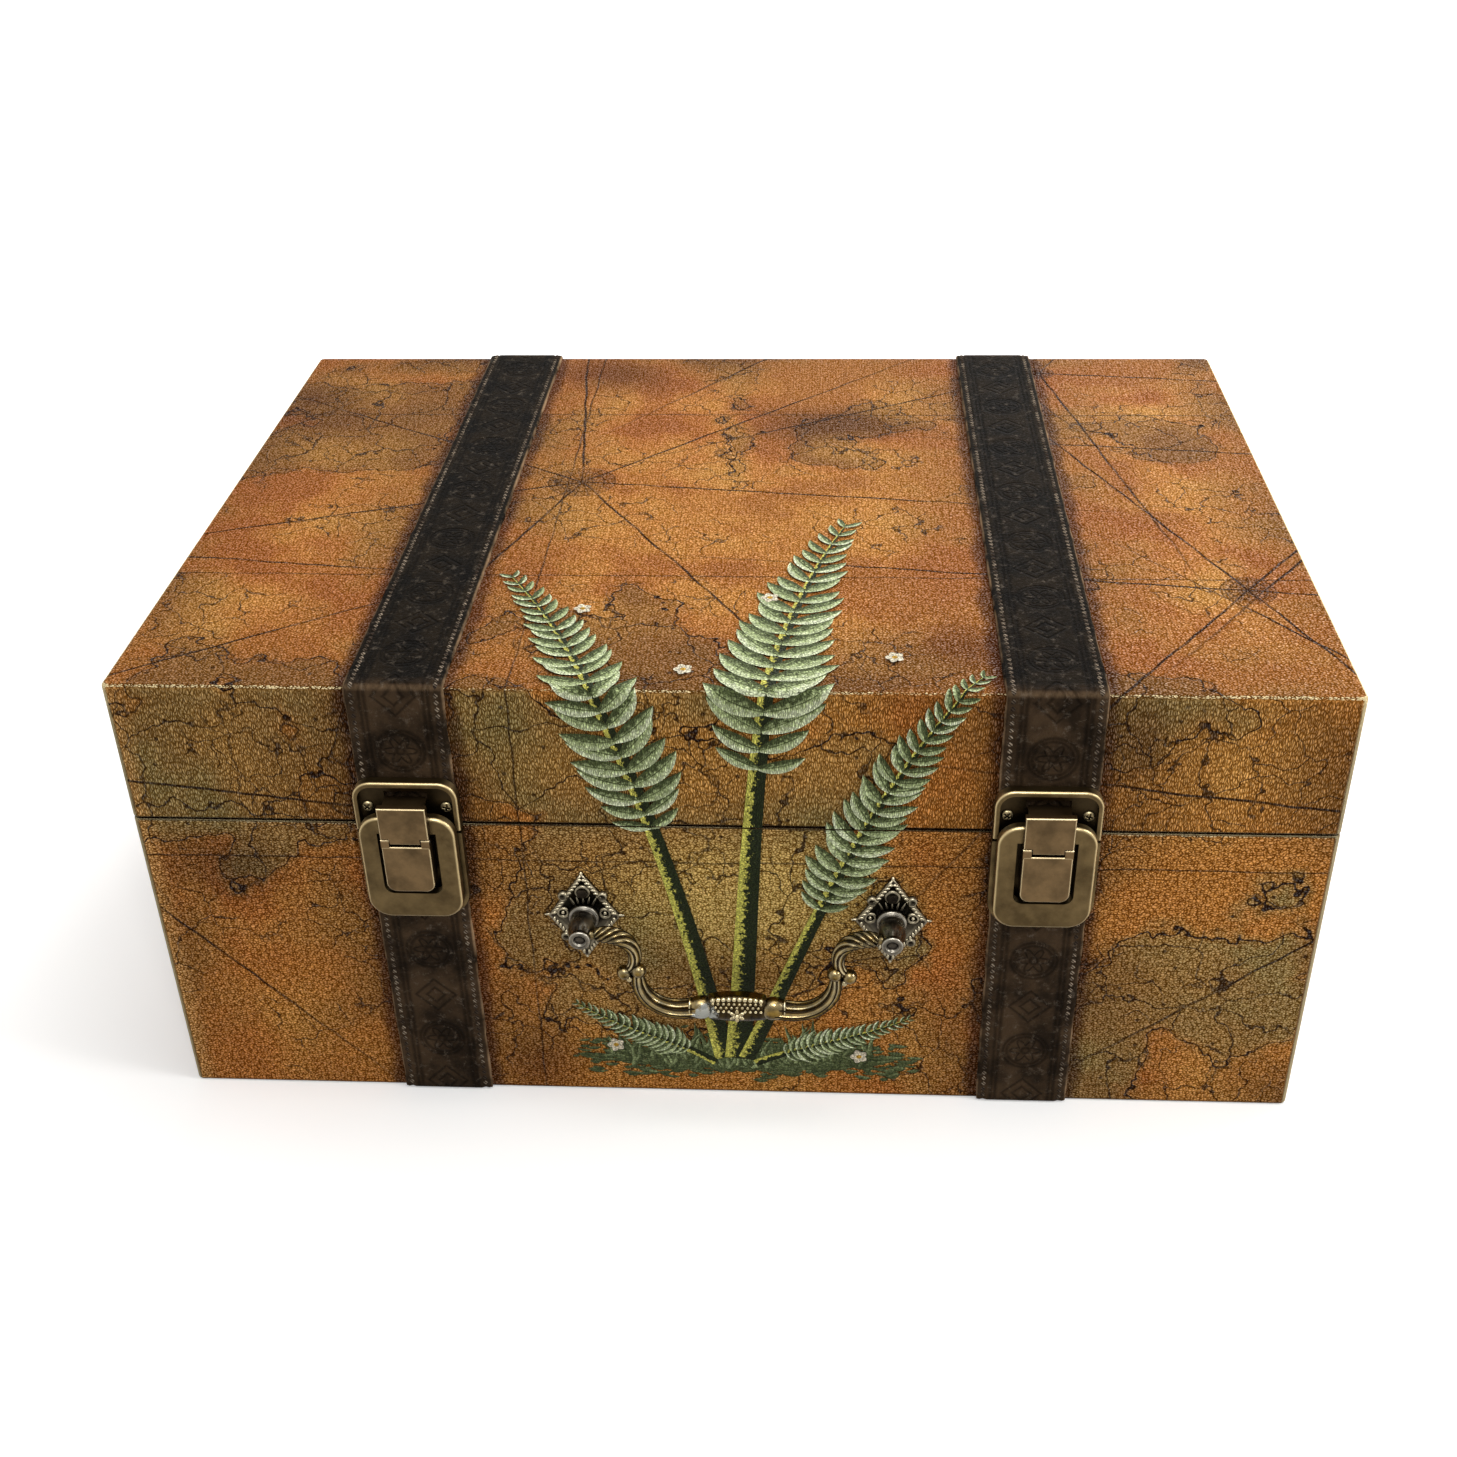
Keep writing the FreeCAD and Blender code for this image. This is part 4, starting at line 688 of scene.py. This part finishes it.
# tooling: two lines along each side, and round flowers with a lozenge half way to the next
BORDER = 9.4
BORDER_HALF = 0.7
HALF_WAY = 19.0
pressed = apart(tree, apart(tree, across, BORDER), BORDER_HALF)
along = calc(tree, "PINGPONG", flat["Y"], HALF_WAY)
flower = add(tree, "CombineXYZ", {"X": across, "Y": along}).outputs[0]
radius = vec(tree, "LENGTH", flower)
angle = calc(tree, "ARCTAN2", along, across)
petals = calc(tree, "MULTIPLY", angle, 6.0)
petals = calc(tree, "COSINE", petals)
petals = calc(tree, "MULTIPLY_ADD", petals, 1.3, 3.6)
between = calc(tree, "SUBTRACT", HALF_WAY, along)
lozenge = calc(tree, "ADD", across, between)
for shape, size in ((radius, 7.2), (radius, 6.0), (radius, 1.2), (radius, petals), (lozenge, 6.5), (lozenge, 3.0)):
    pressed = calc(tree, "MINIMUM", pressed, apart(tree, shape, size))
relief = ramp(tree, pressed, 0.0, 1.1, smooth=True)
pores = speckle(tree, sheet, 0.9, 5.0, 0.7, flat=True)
relief_all = calc(tree, "MULTIPLY_ADD", pores, 1.6, relief)
tooling = add(tree, "Bump", {"Height": relief_all, "Strength": 1.0, "Distance": 0.0005}).outputs[0]

# dye, near black on top and browner on the upright runs, the step between them partly painted shade on top and
# painted light on the upright runs; rubbed along the cut edges and flecked where it cracked
age = speckle(tree, sheet, 1.0 / 14.0, 4.0, 0.6, flat=True)
age = ramp(tree, age, 0.35, 0.65)
from_middle = calc(tree, "ABSOLUTE", flat["Y"])
upright = ramp(tree, from_middle, HALF_DEPTH - 4.0, HALF_DEPTH + 1.0)
top_dye_and_shade = mix(tree, age, "#100D09", "#1F180F")
upright_dye_and_light = mix(tree, age, "#281F16", "#4A3A2A")
dye_and_shade = mix(tree, upright, top_dye_and_shade, upright_dye_and_light)
pit = ramp(tree, relief, 0.0, 1.0, 0.5, 1.0)
dye_and_shade = mix(tree, 1.0, dye_and_shade, pit, "MULTIPLY")
flecks = speckle(tree, sheet, 0.3, 7.0, 0.8, flat=True)
flecks = ramp(tree, flecks, 0.56, 0.72, 0.0, 0.45)
dye_and_shade = mix(tree, flecks, dye_and_shade, "#7E7264")
bent = ramp(tree, apart(tree, from_middle, HALF_DEPTH), 0.2, 0.8, 0.4, 0.0)
bent = calc(tree, "MULTIPLY", bent, pores)
cut = ramp(tree, across, STRAP_HALF - 0.9, STRAP_HALF - 0.4)
cut = calc(tree, "MULTIPLY", cut, age)
cut = calc(tree, "MAXIMUM", cut, bent)
dye_and_shade = mix(tree, cut, dye_and_shade, "#A08262")
wax = ramp(tree, pores, 0.3, 0.7, 0.4, 0.66)
feed(tree, shader, {"Base Color": dye_and_shade, "Roughness": wax, "Normal": tooling, "Specular IOR Level": 0.015})

# thread: twisted yarn, pale where it is clean and brown where it is soiled, with a dull shine from the wax; the dark
# lines of the twist are painted shade between the plies
waxed_thread, tree, shader = surface("waxed sewing thread")
spot = in_mm(tree)
twist = add(tree, "TexWave", {"Vector": spot, "Scale": 0.55, "Distortion": 1.0},
            bands_direction="DIAGONAL").outputs["Fac"]
soiled = speckle(tree, spot, 0.2, 3.0)
soiled = ramp(tree, soiled, 0.4, 0.62)
yarn = mix(tree, soiled, "#40352B", "#9C8C78")
# painted shade in the grooves of the twist
yarn = mix(tree, twist, "#1A130F", yarn)
feed(tree, shader, {"Base Color": yarn, "Roughness": 0.7, "Specular IOR Level": 0.05})

for side, centre in (("left", -STRAP_CENTRE), ("right", STRAP_CENTRE)):
    low = HALF_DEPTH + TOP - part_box(side + "_lid_strap")[0].z * MM
    sewn_strap(side + "_lid_strap", "lid", centre, -low, low)
    for face, sign in (("front", -1), ("back", 1)):
        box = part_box(side + "_" + face + "_strap")
        ends = sorted(sign * (HALF_DEPTH + TOP - corner.z * MM) for corner in box)
        sewn_strap(side + "_" + face + "_strap", "body", centre, ends[0], ends[1])


# Latches
# Pressed and cast brass plates with an antique finish: dipped dark, then rubbed back so that faces are
# satin and edges bright. Keeper on the lid, base and ring on the body, lever and claw between them.

def antique_metal(name, face, dark, bright, blotch, rough, edge=0.5, sunk=0.0):
    """Dipped and rubbed metal: blotches of the given size in mm, dark in hollows and bright on edges. The darkening
    from ambient occlusion is partly the dip left in hollows and partly painted shade where other parts come close.
    On castings the attribute "hollow" says how sharply the surface bends inwards (above 0) or outwards, per mm.
    If sunk is given, floors that face the viewer and stand out less than that, in mm, kept the dark dip because no
    cloth reached them, and only the piece's own hollows count."""
    metal, tree, shader = surface(name)
    spot = add(tree, "TexCoord").outputs
    here = vec(tree, "SCALE", spot["Object"], MM)
    dip = speckle(tree, here, 1.0 / blotch, 5.0, 0.62)
    dip_here = ramp(tree, dip, 0.36, 0.64)
    tone = mix(tree, dip_here, dark, face)
    level, turn = flatness(tree, spot["Normal"])
    rubbed = ramp(tree, level, 0.75, 0.98, edge, 0.0)
    tone = mix(tree, rubbed, tone, bright)
    bend = add(tree, "Attribute", attribute_name="hollow").outputs["Fac"]
    ridge = ramp(tree, bend, -0.9, -0.25, 0.8, 0.0)
    tone = mix(tree, ridge, tone, bright)
    groove = ramp(tree, bend, 0.02, 0.3, 0.0, 0.95)
    if sunk:
        out = add(tree, "SeparateXYZ", {0: here}).outputs["Y"]
        out = ramp(tree, out, -HALF_DEPTH - sunk - 1.2, -HALF_DEPTH - sunk, 0.0, 0.8)
        groove = calc(tree, "MAXIMUM", groove, calc(tree, "MULTIPLY", out, turn["Y"]))
    # ambient occlusion within 3 mm: the dip left in hollows, and painted shade where other parts come close unless
    # only the piece's own hollows count
    hollow = add(tree, "AmbientOcclusion", {"Distance": 0.003}, samples=8, only_local=sunk > 0).outputs["AO"]
    hollow = ramp(tree, hollow, 0.3, 0.85, 0.92, 0.0)
    hollow = calc(tree, "MAXIMUM", hollow, groove)
    tone = mix(tree, hollow, tone, "#120D08")
    satin = speckle(tree, here, 2.6, 3.0)
    dull = ramp(tree, dip, 0.3, 0.7, rough + 0.14, rough - 0.06)
    hammer = add(tree, "Bump", {"Height": satin, "Strength": 0.12, "Distance": 0.0003}).outputs[0]
    feed(tree, shader, {"Base Color": tone, "Roughness": dull, "Normal": hammer, "Metallic": 1.0})
    return metal


latch_brass = antique_metal("antiqued latch brass", "#5E4E33", "#443722", "#E8D09C", 9.0, 0.36, 0.6, 3.0)
rubbed_brass = antique_metal("rubbed latch brass", "#665238", "#4A3B27", "#EED8AA", 9.0, 0.36, 0.6)

# the pins are bright drawn steel: plain grey with a dull gleam
pin_steel = antique_metal("drawn steel pin", "#8C877C", "#56524A", "#CFCBBF", 4.0, 0.38)
for side in ("left", "right"):
    for part in ("keeper", "latch_base", "latch_ring"):
        finish(nodes[side + "_" + part], latch_brass)
    for part in ("lever", "claw"):
        finish(nodes[side + "_" + part], rubbed_brass)
    for part in ("lever_pins", "claw_pin"):
        finish(nodes[side + "_" + part], pin_steel)


# Screws
# Small brass wood screws with domed heads and a cross recess: two through each keeper, and the ones that
# hold the latch bases and the hinges. Turned, with the recess punched.

def on_front(x, z, out=0.0):
    """Stand what was built lying flat in mm upright on the chest's front, out towards the viewer."""
    upright = Matrix.Translation((x, -HALF_DEPTH - out, z)) @ Matrix.Rotation(math.pi / 2, 4, "X")
    return Matrix.Scale(1 / MM, 4) @ upright


def turned(mesh, profile, place, steps=32):
    """Turn a profile of (radius, height) round its axis and put it in place."""
    lathe = bmesh.new()
    points = [lathe.verts.new((radius, 0, height)) for radius, height in profile]
    edges = [lathe.edges.new(pair) for pair in zip(points, points[1:])]
    bmesh.ops.spin(lathe, geom=points + edges, cent=(0, 0, 0), axis=(0, 0, 1), angle=2 * math.pi, steps=steps,
                   use_merge=True)
    bmesh.ops.remove_doubles(lathe, verts=lathe.verts, dist=1e-4)
    bmesh.ops.recalc_face_normals(lathe, faces=lathe.faces)
    lathe.transform(place)
    blank = bpy.data.meshes.new("blank")
    lathe.to_mesh(blank)
    lathe.free()
    mesh.from_mesh(blank)
    bpy.data.meshes.remove(blank)


screw_brass = antique_metal("turned screw brass", "#8A7A5A", "#544731", "#DCCB9E", 1.5, 0.35)
for name in ("latch_screws", "hinge_body_screws", "hinge_lid_screws"):
    finish(nodes[name], screw_brass)

SCREW_X, SCREW_RISE, SCREW_OUT = 12.05, 8.0, 2.7
SCREW_HEAD = ((0, -1.2), (1.0, -1.2), (1.85, 0), (1.83, 0.35), (1.55, 0.75), (1.0, 0.98), (0, 1.05))
heads, recesses = bmesh.new(), bmesh.new()
for centre in (-STRAP_CENTRE, STRAP_CENTRE):
    for side in (-SCREW_X, SCREW_X):
        place = on_front(centre + side, SEAM + SCREW_RISE, SCREW_OUT)
        turned(heads, SCREW_HEAD, place, 24)
        for turn in (0.3, 0.3 + math.pi / 2):
            slot = place @ Matrix.Translation((0, 0, 0.85)) @ Matrix.Rotation(turn + side, 4, "Z")
            bmesh.ops.create_cube(recesses, size=1.0, matrix=slot @ Matrix.Diagonal((2.3, 0.55, 1.1, 1)))
keeper_heads = piece_from(heads, "keeper_screw_heads", "lid", screw_brass)
punch = bpy.data.objects.new("punch", bpy.data.meshes.new("punch"))
recesses.to_mesh(punch.data)
recesses.free()
scene.collection.objects.link(punch)
cut = keeper_heads.modifiers.new("recess", "BOOLEAN")
cut.object = punch
cut.use_self = True
punched = bpy.data.meshes.new_from_object(keeper_heads.evaluated_get(bpy.context.evaluated_depsgraph_get()))
keeper_heads.modifiers.clear()
keeper_heads.data = punched
bpy.data.objects.remove(punch)
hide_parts("keeper_screws")


# Hinges
# Two butt hinges of rolled brass sheet on the back, each with two leaves and a steel pin, given the same
# dark dip as the handle and left unrubbed.

hinge_brass = antique_metal("dipped hinge brass", "#6E5A3C", "#413423", "#BFA36E", 7.0, 0.45)
for side in ("left", "right"):
    finish(nodes[side + "_hinge_body_leaf"], hinge_brass)
    finish(nodes[side + "_hinge_lid_leaf"], hinge_brass)
    finish(nodes[side + "_hinge_pin"], pin_steel)


# Rosettes
# Cast bronze lozenges behind the handle posts, nearly black, with a roped border, knobs on the sides and a
# ring for the nail that holds the top. Rays fan down from the ring to the post.

HANDLE_Z = 75.7
ROSETTE_HALF = (11.15, 16.6)
POSTS = (("left", -45.0), ("right", 51.0))


def bead(mesh, place, size, turn=0.0):
    """A small cast bead, round or drawn out, turned in the plane of the front."""
    size = size if isinstance(size, tuple) else (size, size, size)
    shape = Matrix.Translation(place) @ Matrix.Rotation(turn, 4, "Z") @ Matrix.Diagonal(size + (1,))
    bmesh.ops.create_uvsphere(mesh, u_segments=10, v_segments=6, radius=1.0, matrix=shape)


def mark_hollows(casting):
    """Say for each point of a casting how sharply it bends inwards (hollow) or outwards (ridge), per mm."""
    hollow = casting.verts.layers.float.new("hollow")
    casting.normal_update()
    for vert in casting.verts:
        steps = [edge.other_vert(vert).co - vert.co for edge in vert.link_edges]
        vert[hollow] = sum(step.dot(vert.normal) / step.length_squared for step in steps) / len(steps)
    return hollow


dark_bronze = antique_metal("dark cast bronze", "#39322A", "#0E0B08", "#D9CCAC", 3.0, 0.3, 0.3)
for side, x in POSTS:
    casting = bmesh.new()
    plate = bmesh.ops.create_circle(casting, cap_ends=True, segments=32, radius=1.0)["verts"]
    for vert in plate:
        vert.co /= abs(vert.co.x) / ROSETTE_HALF[0] + abs(vert.co.y) / ROSETTE_HALF[1]
    raised = bmesh.ops.extrude_face_region(casting, geom=casting.faces[:])["geom"]
    bmesh.ops.translate(casting, verts=[v for v in raised if isinstance(v, bmesh.types.BMVert)], vec=(0, 0, 1.5))
    face = [f for f in raised if isinstance(f, bmesh.types.BMFace)]
    bmesh.ops.inset_region(casting, faces=face, thickness=1.5, depth=0.0)
    bmesh.ops.inset_region(casting, faces=face, thickness=0.5, depth=-0.8)
    bmesh.ops.recalc_face_normals(casting, faces=casting.faces)
    corner = math.atan2(ROSETTE_HALF[1], ROSETTE_HALF[0])
    for sx, sy in ((1, 1), (-1, 1), (-1, -1), (1, -1)):
        for step in range(1, 12):
            t = step / 12
            spot = (sx * (ROSETTE_HALF[0] - 0.9) * (1 - t), sy * (ROSETTE_HALF[1] - 1.2) * t, 1.5)
            bead(casting, spot, (0.55, 1.0, 0.55), sx * sy * (math.pi / 2 - corner) + 0.7 * sx)
        turned(casting, ((0, 0.9), (0.55, 1.0), (0.95, 1.9), (1.5, 1.5), (1.7, 0.2)),
               Matrix.Translation((sx * 6.2, sy * 8.0, 0.6)), 16)
    for sign in (-1, 1):
        bead(casting, (sign * 11.2, 0, 0.8), (1.5, 0.5, 0.5))
        bead(casting, (0, sign * 16.2, 0.9), (0.6, 0.9, 0.7))
        turned(casting, ((1.1, 0.6), (1.3, 1.2), (1.7, 1.3), (2.1, 1.0), (2.2, 0.4)),
               Matrix.Translation((sign * 6.6, 1.0, 0.3)), 16)
        bead(casting, (sign * 6.6, 1.0, 0.9), 0.75)
        bead(casting, (sign * 3.4, -10.0, 0.9), 0.8)
    for ray in range(-2, 3):
        bead(casting, (ray * 1.5, 4.6, 0.9), (0.42, 2.9, 0.55), -ray * 0.22)
    turned(casting, ((1.1, 0.6), (1.3, 1.7), (1.9, 2.0), (2.5, 1.6), (2.7, 0.6)), Matrix.Translation((0, 9.5, 0)), 20)
    bead(casting, (0, -12.6, 0.9), (1.0, 1.4, 0.8))
    mark_hollows(casting)
    casting.transform(on_front(x, HANDLE_Z))
    piece = piece_from(casting, side + "_rosette_cast", "body", dark_bronze)
    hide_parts(side + "_rosette")
for name in ("rosette_nails", "handle_bolts", "handle_washers"):
    finish(nodes[name], dark_bronze)


# Handle posts
# Turned bronze posts with a foot ring, a swelling belly, a fluted neck and a cupped end. A bolt from
# inside holds each one through its rosette. Worn to a grey sheen, and dark in the flutes.

worn_bronze = antique_metal("worn grey bronze", "#5E574B", "#231F1A", "#E4DDCC", 3.0, 0.26, 0.2)
for side, x in POSTS:
    post = bmesh.new()
    turned(post, ((0, 1.4), (4.8, 1.4), (4.8, 2.6), (4.5, 3.0), (3.9, 3.2), (3.7, 4.0), (3.9, 5.2), (4.22, 6.6),
                  (4.3, 7.6), (4.15, 8.8), (3.8, 10.0), (3.45, 11.0), (3.15, 12.0), (3.0, 12.7), (3.1, 12.9),
                  (3.35, 13.15), (3.38, 13.7), (3.05, 14.0), (2.2, 14.0), (1.9, 13.8), (1.75, 12.9), (0, 12.8)),
           Matrix.Identity(4), 48)
    for vert in post.verts:
        flute = max(0.0, 1 - abs(vert.co.z - 10.9) / 2.0)
        swell = 1 + 0.07 * flute * math.cos(8 * math.atan2(vert.co.y, vert.co.x))
        vert.co.x *= swell
        vert.co.y *= swell
    mark_hollows(post)
    post.transform(on_front(x, HANDLE_Z))
    piece = piece_from(post, side + "_post_turned", "body", worn_bronze)
    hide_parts(side + "_post")


# Bail
# The swinging handle is one brass casting: pins in the posts, gadrooned scrolls with balls, ribbed arms, two
# bulb collars and a beaded grip with a small flower. It was dipped dark and is rubbed bright by hands.

BAIL_OUT = 10.5
SCROLL = (39.9, -8.3, 8.5)
SCROLL_RADII = (2.6, 2.7, 2.6, 2.4, 2.2, 2.0, 1.8, 1.5, 1.3)
SCROLL_TWISTS = (1.4, 2.4, 3.1, 3.5, 3.6, 3.6, 3.6, 3.6, 3.6)
ARM = (18.64, -17.22, 12.55)
ARM_RADII = (1.6, 2.1, 2.5, 2.7, 2.8, 2.9, 3.0)
GRIP = (18.6, 10.2, 5.0)

bail_brass = antique_metal("rubbed bail brass", "#77602F", "#2E2311", "#FFF0C4", 2.4, 0.2, 0.12)

# the dip has flaked off the left collar and the corner of the grip beside it, down to pale plating
tree = bail_brass.node_tree
shader = tree.nodes["Principled BSDF"]
spot = in_mm(tree)
flaked = vec(tree, "DISTANCE", spot, (-7.2, -HALF_DEPTH - 13.0, 46.0))
ragged = speckle(tree, spot, 0.45, 4.0, 0.6)
flaked = calc(tree, "MULTIPLY_ADD", ragged, 9.0, flaked)
flaked = ramp(tree, flaked, 7.4, 8.6, 0.9, 0.0)
dipped = shader.inputs["Base Color"].links[0].from_socket
bare = mix(tree, flaked, dipped, "#8F918C")
feed(tree, shader, {"Base Color": bare})

rib_path = bpy.data.curves.new("ribbed section", "CURVE")
rib_path.dimensions = "2D"
ribs = rib_path.splines.new("NURBS")
ribs.points.add(15)
for index, point in enumerate(ribs.points):
    turn = index * math.pi / 8
    reach = 1.2 if index % 2 else 0.66
    point.co = (reach * math.cos(turn), reach * math.sin(turn), 0, 1)
ribs.use_cyclic_u = True
ribs.order_u = 3
rib_path.resolution_u = 4
rib_section = bpy.data.objects.new("ribbed section", rib_path)
scene.collection.objects.link(rib_section)


def cast_arm(mesh, points):
    """Draw the ribbed section along a smooth path of (x, y, radius, twist) and add it to the casting."""
    path = bpy.data.curves.new("arm", "CURVE")
    path.dimensions = "3D"
    path.bevel_mode = "OBJECT"
    path.bevel_object = rib_section
    path.use_fill_caps = True
    path.resolution_u = 5
    line = path.splines.new("NURBS")
    line.points.add(len(points) - 1)
    for point, (x, y, radius, twist) in zip(line.points, points):
        point.co = (x, y, 0, 1)
        point.radius = radius
        point.tilt = twist
    line.order_u = 4
    line.use_endpoint_u = True
    holder = bpy.data.objects.new("arm", path)
    scene.collection.objects.link(holder)
    drawn = bpy.data.meshes.new_from_object(holder.evaluated_get(bpy.context.evaluated_depsgraph_get()))
    mesh.from_mesh(drawn)
    bpy.data.objects.remove(holder)
    bpy.data.curves.remove(path)
    bpy.data.meshes.remove(drawn)


half = bmesh.new()
scroll = [(43.4, 0, 2.0, 0.0), (42.4, 0.1, 2.5, 0.6)]
for step, (radius, twist) in enumerate(zip(SCROLL_RADII, SCROLL_TWISTS)):
    turn = math.radians(90 + 145 * step / 8)
    scroll.append((SCROLL[0] + SCROLL[2] * math.cos(turn), SCROLL[1] + SCROLL[2] * math.sin(turn), radius, twist))
cast_arm(half, scroll)
arm = []
for step, radius in enumerate(ARM_RADII):
    turn = math.radians(16 - 106 * step / 6)
    arm.append((ARM[0] + ARM[2] * math.cos(turn), ARM[1] + ARM[2] * math.sin(turn), radius, 0.2))
arm += [(15.6, -29.4, 3.2, 0.2), (12.0, -28.9, 3.3, 0.2)]
cast_arm(half, arm)
bead(half, (35.2, -14.9, 0), 2.5)
bead(half, (33.6, -16.9, 0.4), (1.3, 1.3, 1.5))
bead(half, (30.6, -13.6, 0.5), 2.5)
along_x = Matrix.Rotation(math.pi / 2, 4, "Y")
turned(half, ((0, 0), (1.5, 0), (1.5, 7.5), (0, 7.5)), Matrix.Translation((42.0, 0, 0)) @ along_x, 20)
turned(half, ((0, -3.3), (1.9, -3.2), (2.8, -2.5), (3.3, -1.2), (3.4, 0.2), (3.2, 1.6), (2.8, 2.6), (2.5, 3.2),
              (2.9, 3.6), (2.4, 4.0), (0, 4.0)),
       Matrix.Translation((11.4, -28.7, 0)) @ Matrix.Diagonal((1, 1.2, 1, 1)) @ along_x, 24)
casting = half.copy()
half.transform(Matrix.Diagonal((-1, 1, 1, 1)))
mirrored = bpy.data.meshes.new("mirrored half")
bmesh.ops.reverse_faces(half, faces=half.faces)
half.to_mesh(mirrored)
half.free()
casting.from_mesh(mirrored)
bpy.data.meshes.remove(mirrored)
bpy.data.objects.remove(rib_section)

grip = bmesh.new()
bmesh.ops.create_cube(grip, size=1.0, matrix=Matrix.Diagonal(GRIP + (1,)))
bmesh.ops.subdivide_edges(grip, edges=grip.edges, cuts=7, use_grid_fill=True)
for vert in grip.verts:
    arch = (vert.co.x / (GRIP[0] / 2)) ** 2
    vert.co.y = vert.co.y * (1 - 0.2 * arch) - 0.3 * arch
    vert.co.z *= 1 - 0.25 * arch - 0.35 * (vert.co.y / (GRIP[1] / 2)) ** 4
bmesh.ops.smooth_vert(grip, verts=grip.verts, factor=0.5, use_axis_x=True, use_axis_y=True, use_axis_z=True)
field = len(grip.verts)
for step in range(10):
    x = -7.6 + step * 15.2 / 9
    bead(grip, (x, 4.3 - 0.9 * (x / (GRIP[0] / 2)) ** 2, 1.7), 0.95)
    for row in range(3):
        across = x + 0.85 * (row % 2)
        if abs(across) < 8.0 and math.hypot(across, 2.7 - row * 1.4 + 1.9) > 2.9:
            bead(grip, (across, 2.7 - row * 1.5, 2.2), 0.6)
for petal in range(6):
    turn = petal * math.pi / 3
    bead(grip, (-1.55 * math.sin(turn), -1.9 + 1.55 * math.cos(turn), 2.5), (0.7, 1.15, 0.6), turn)
bead(grip, (0, -1.9, 2.6), 0.8)
hollow = mark_hollows(grip)
for index, vert in enumerate(grip.verts):
    if index < field and vert.co.z > 1.0:
        vert[hollow] = 0.26
    elif -0.2 < vert.co.y < 3.3:
        vert[hollow] = max(vert[hollow], -0.4)
grip.transform(Matrix.Translation((0, -28.0, 0)))
cast_grip = bpy.data.meshes.new("cast grip")
grip.to_mesh(cast_grip)
grip.free()
mark_hollows(casting)
casting.from_mesh(cast_grip)
bpy.data.meshes.remove(cast_grip)
casting.transform(on_front((POSTS[0][1] + POSTS[1][1]) / 2, HANDLE_Z, BAIL_OUT))
piece = piece_from(casting, "bail_cast", "bail", bail_brass)
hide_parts("bail")
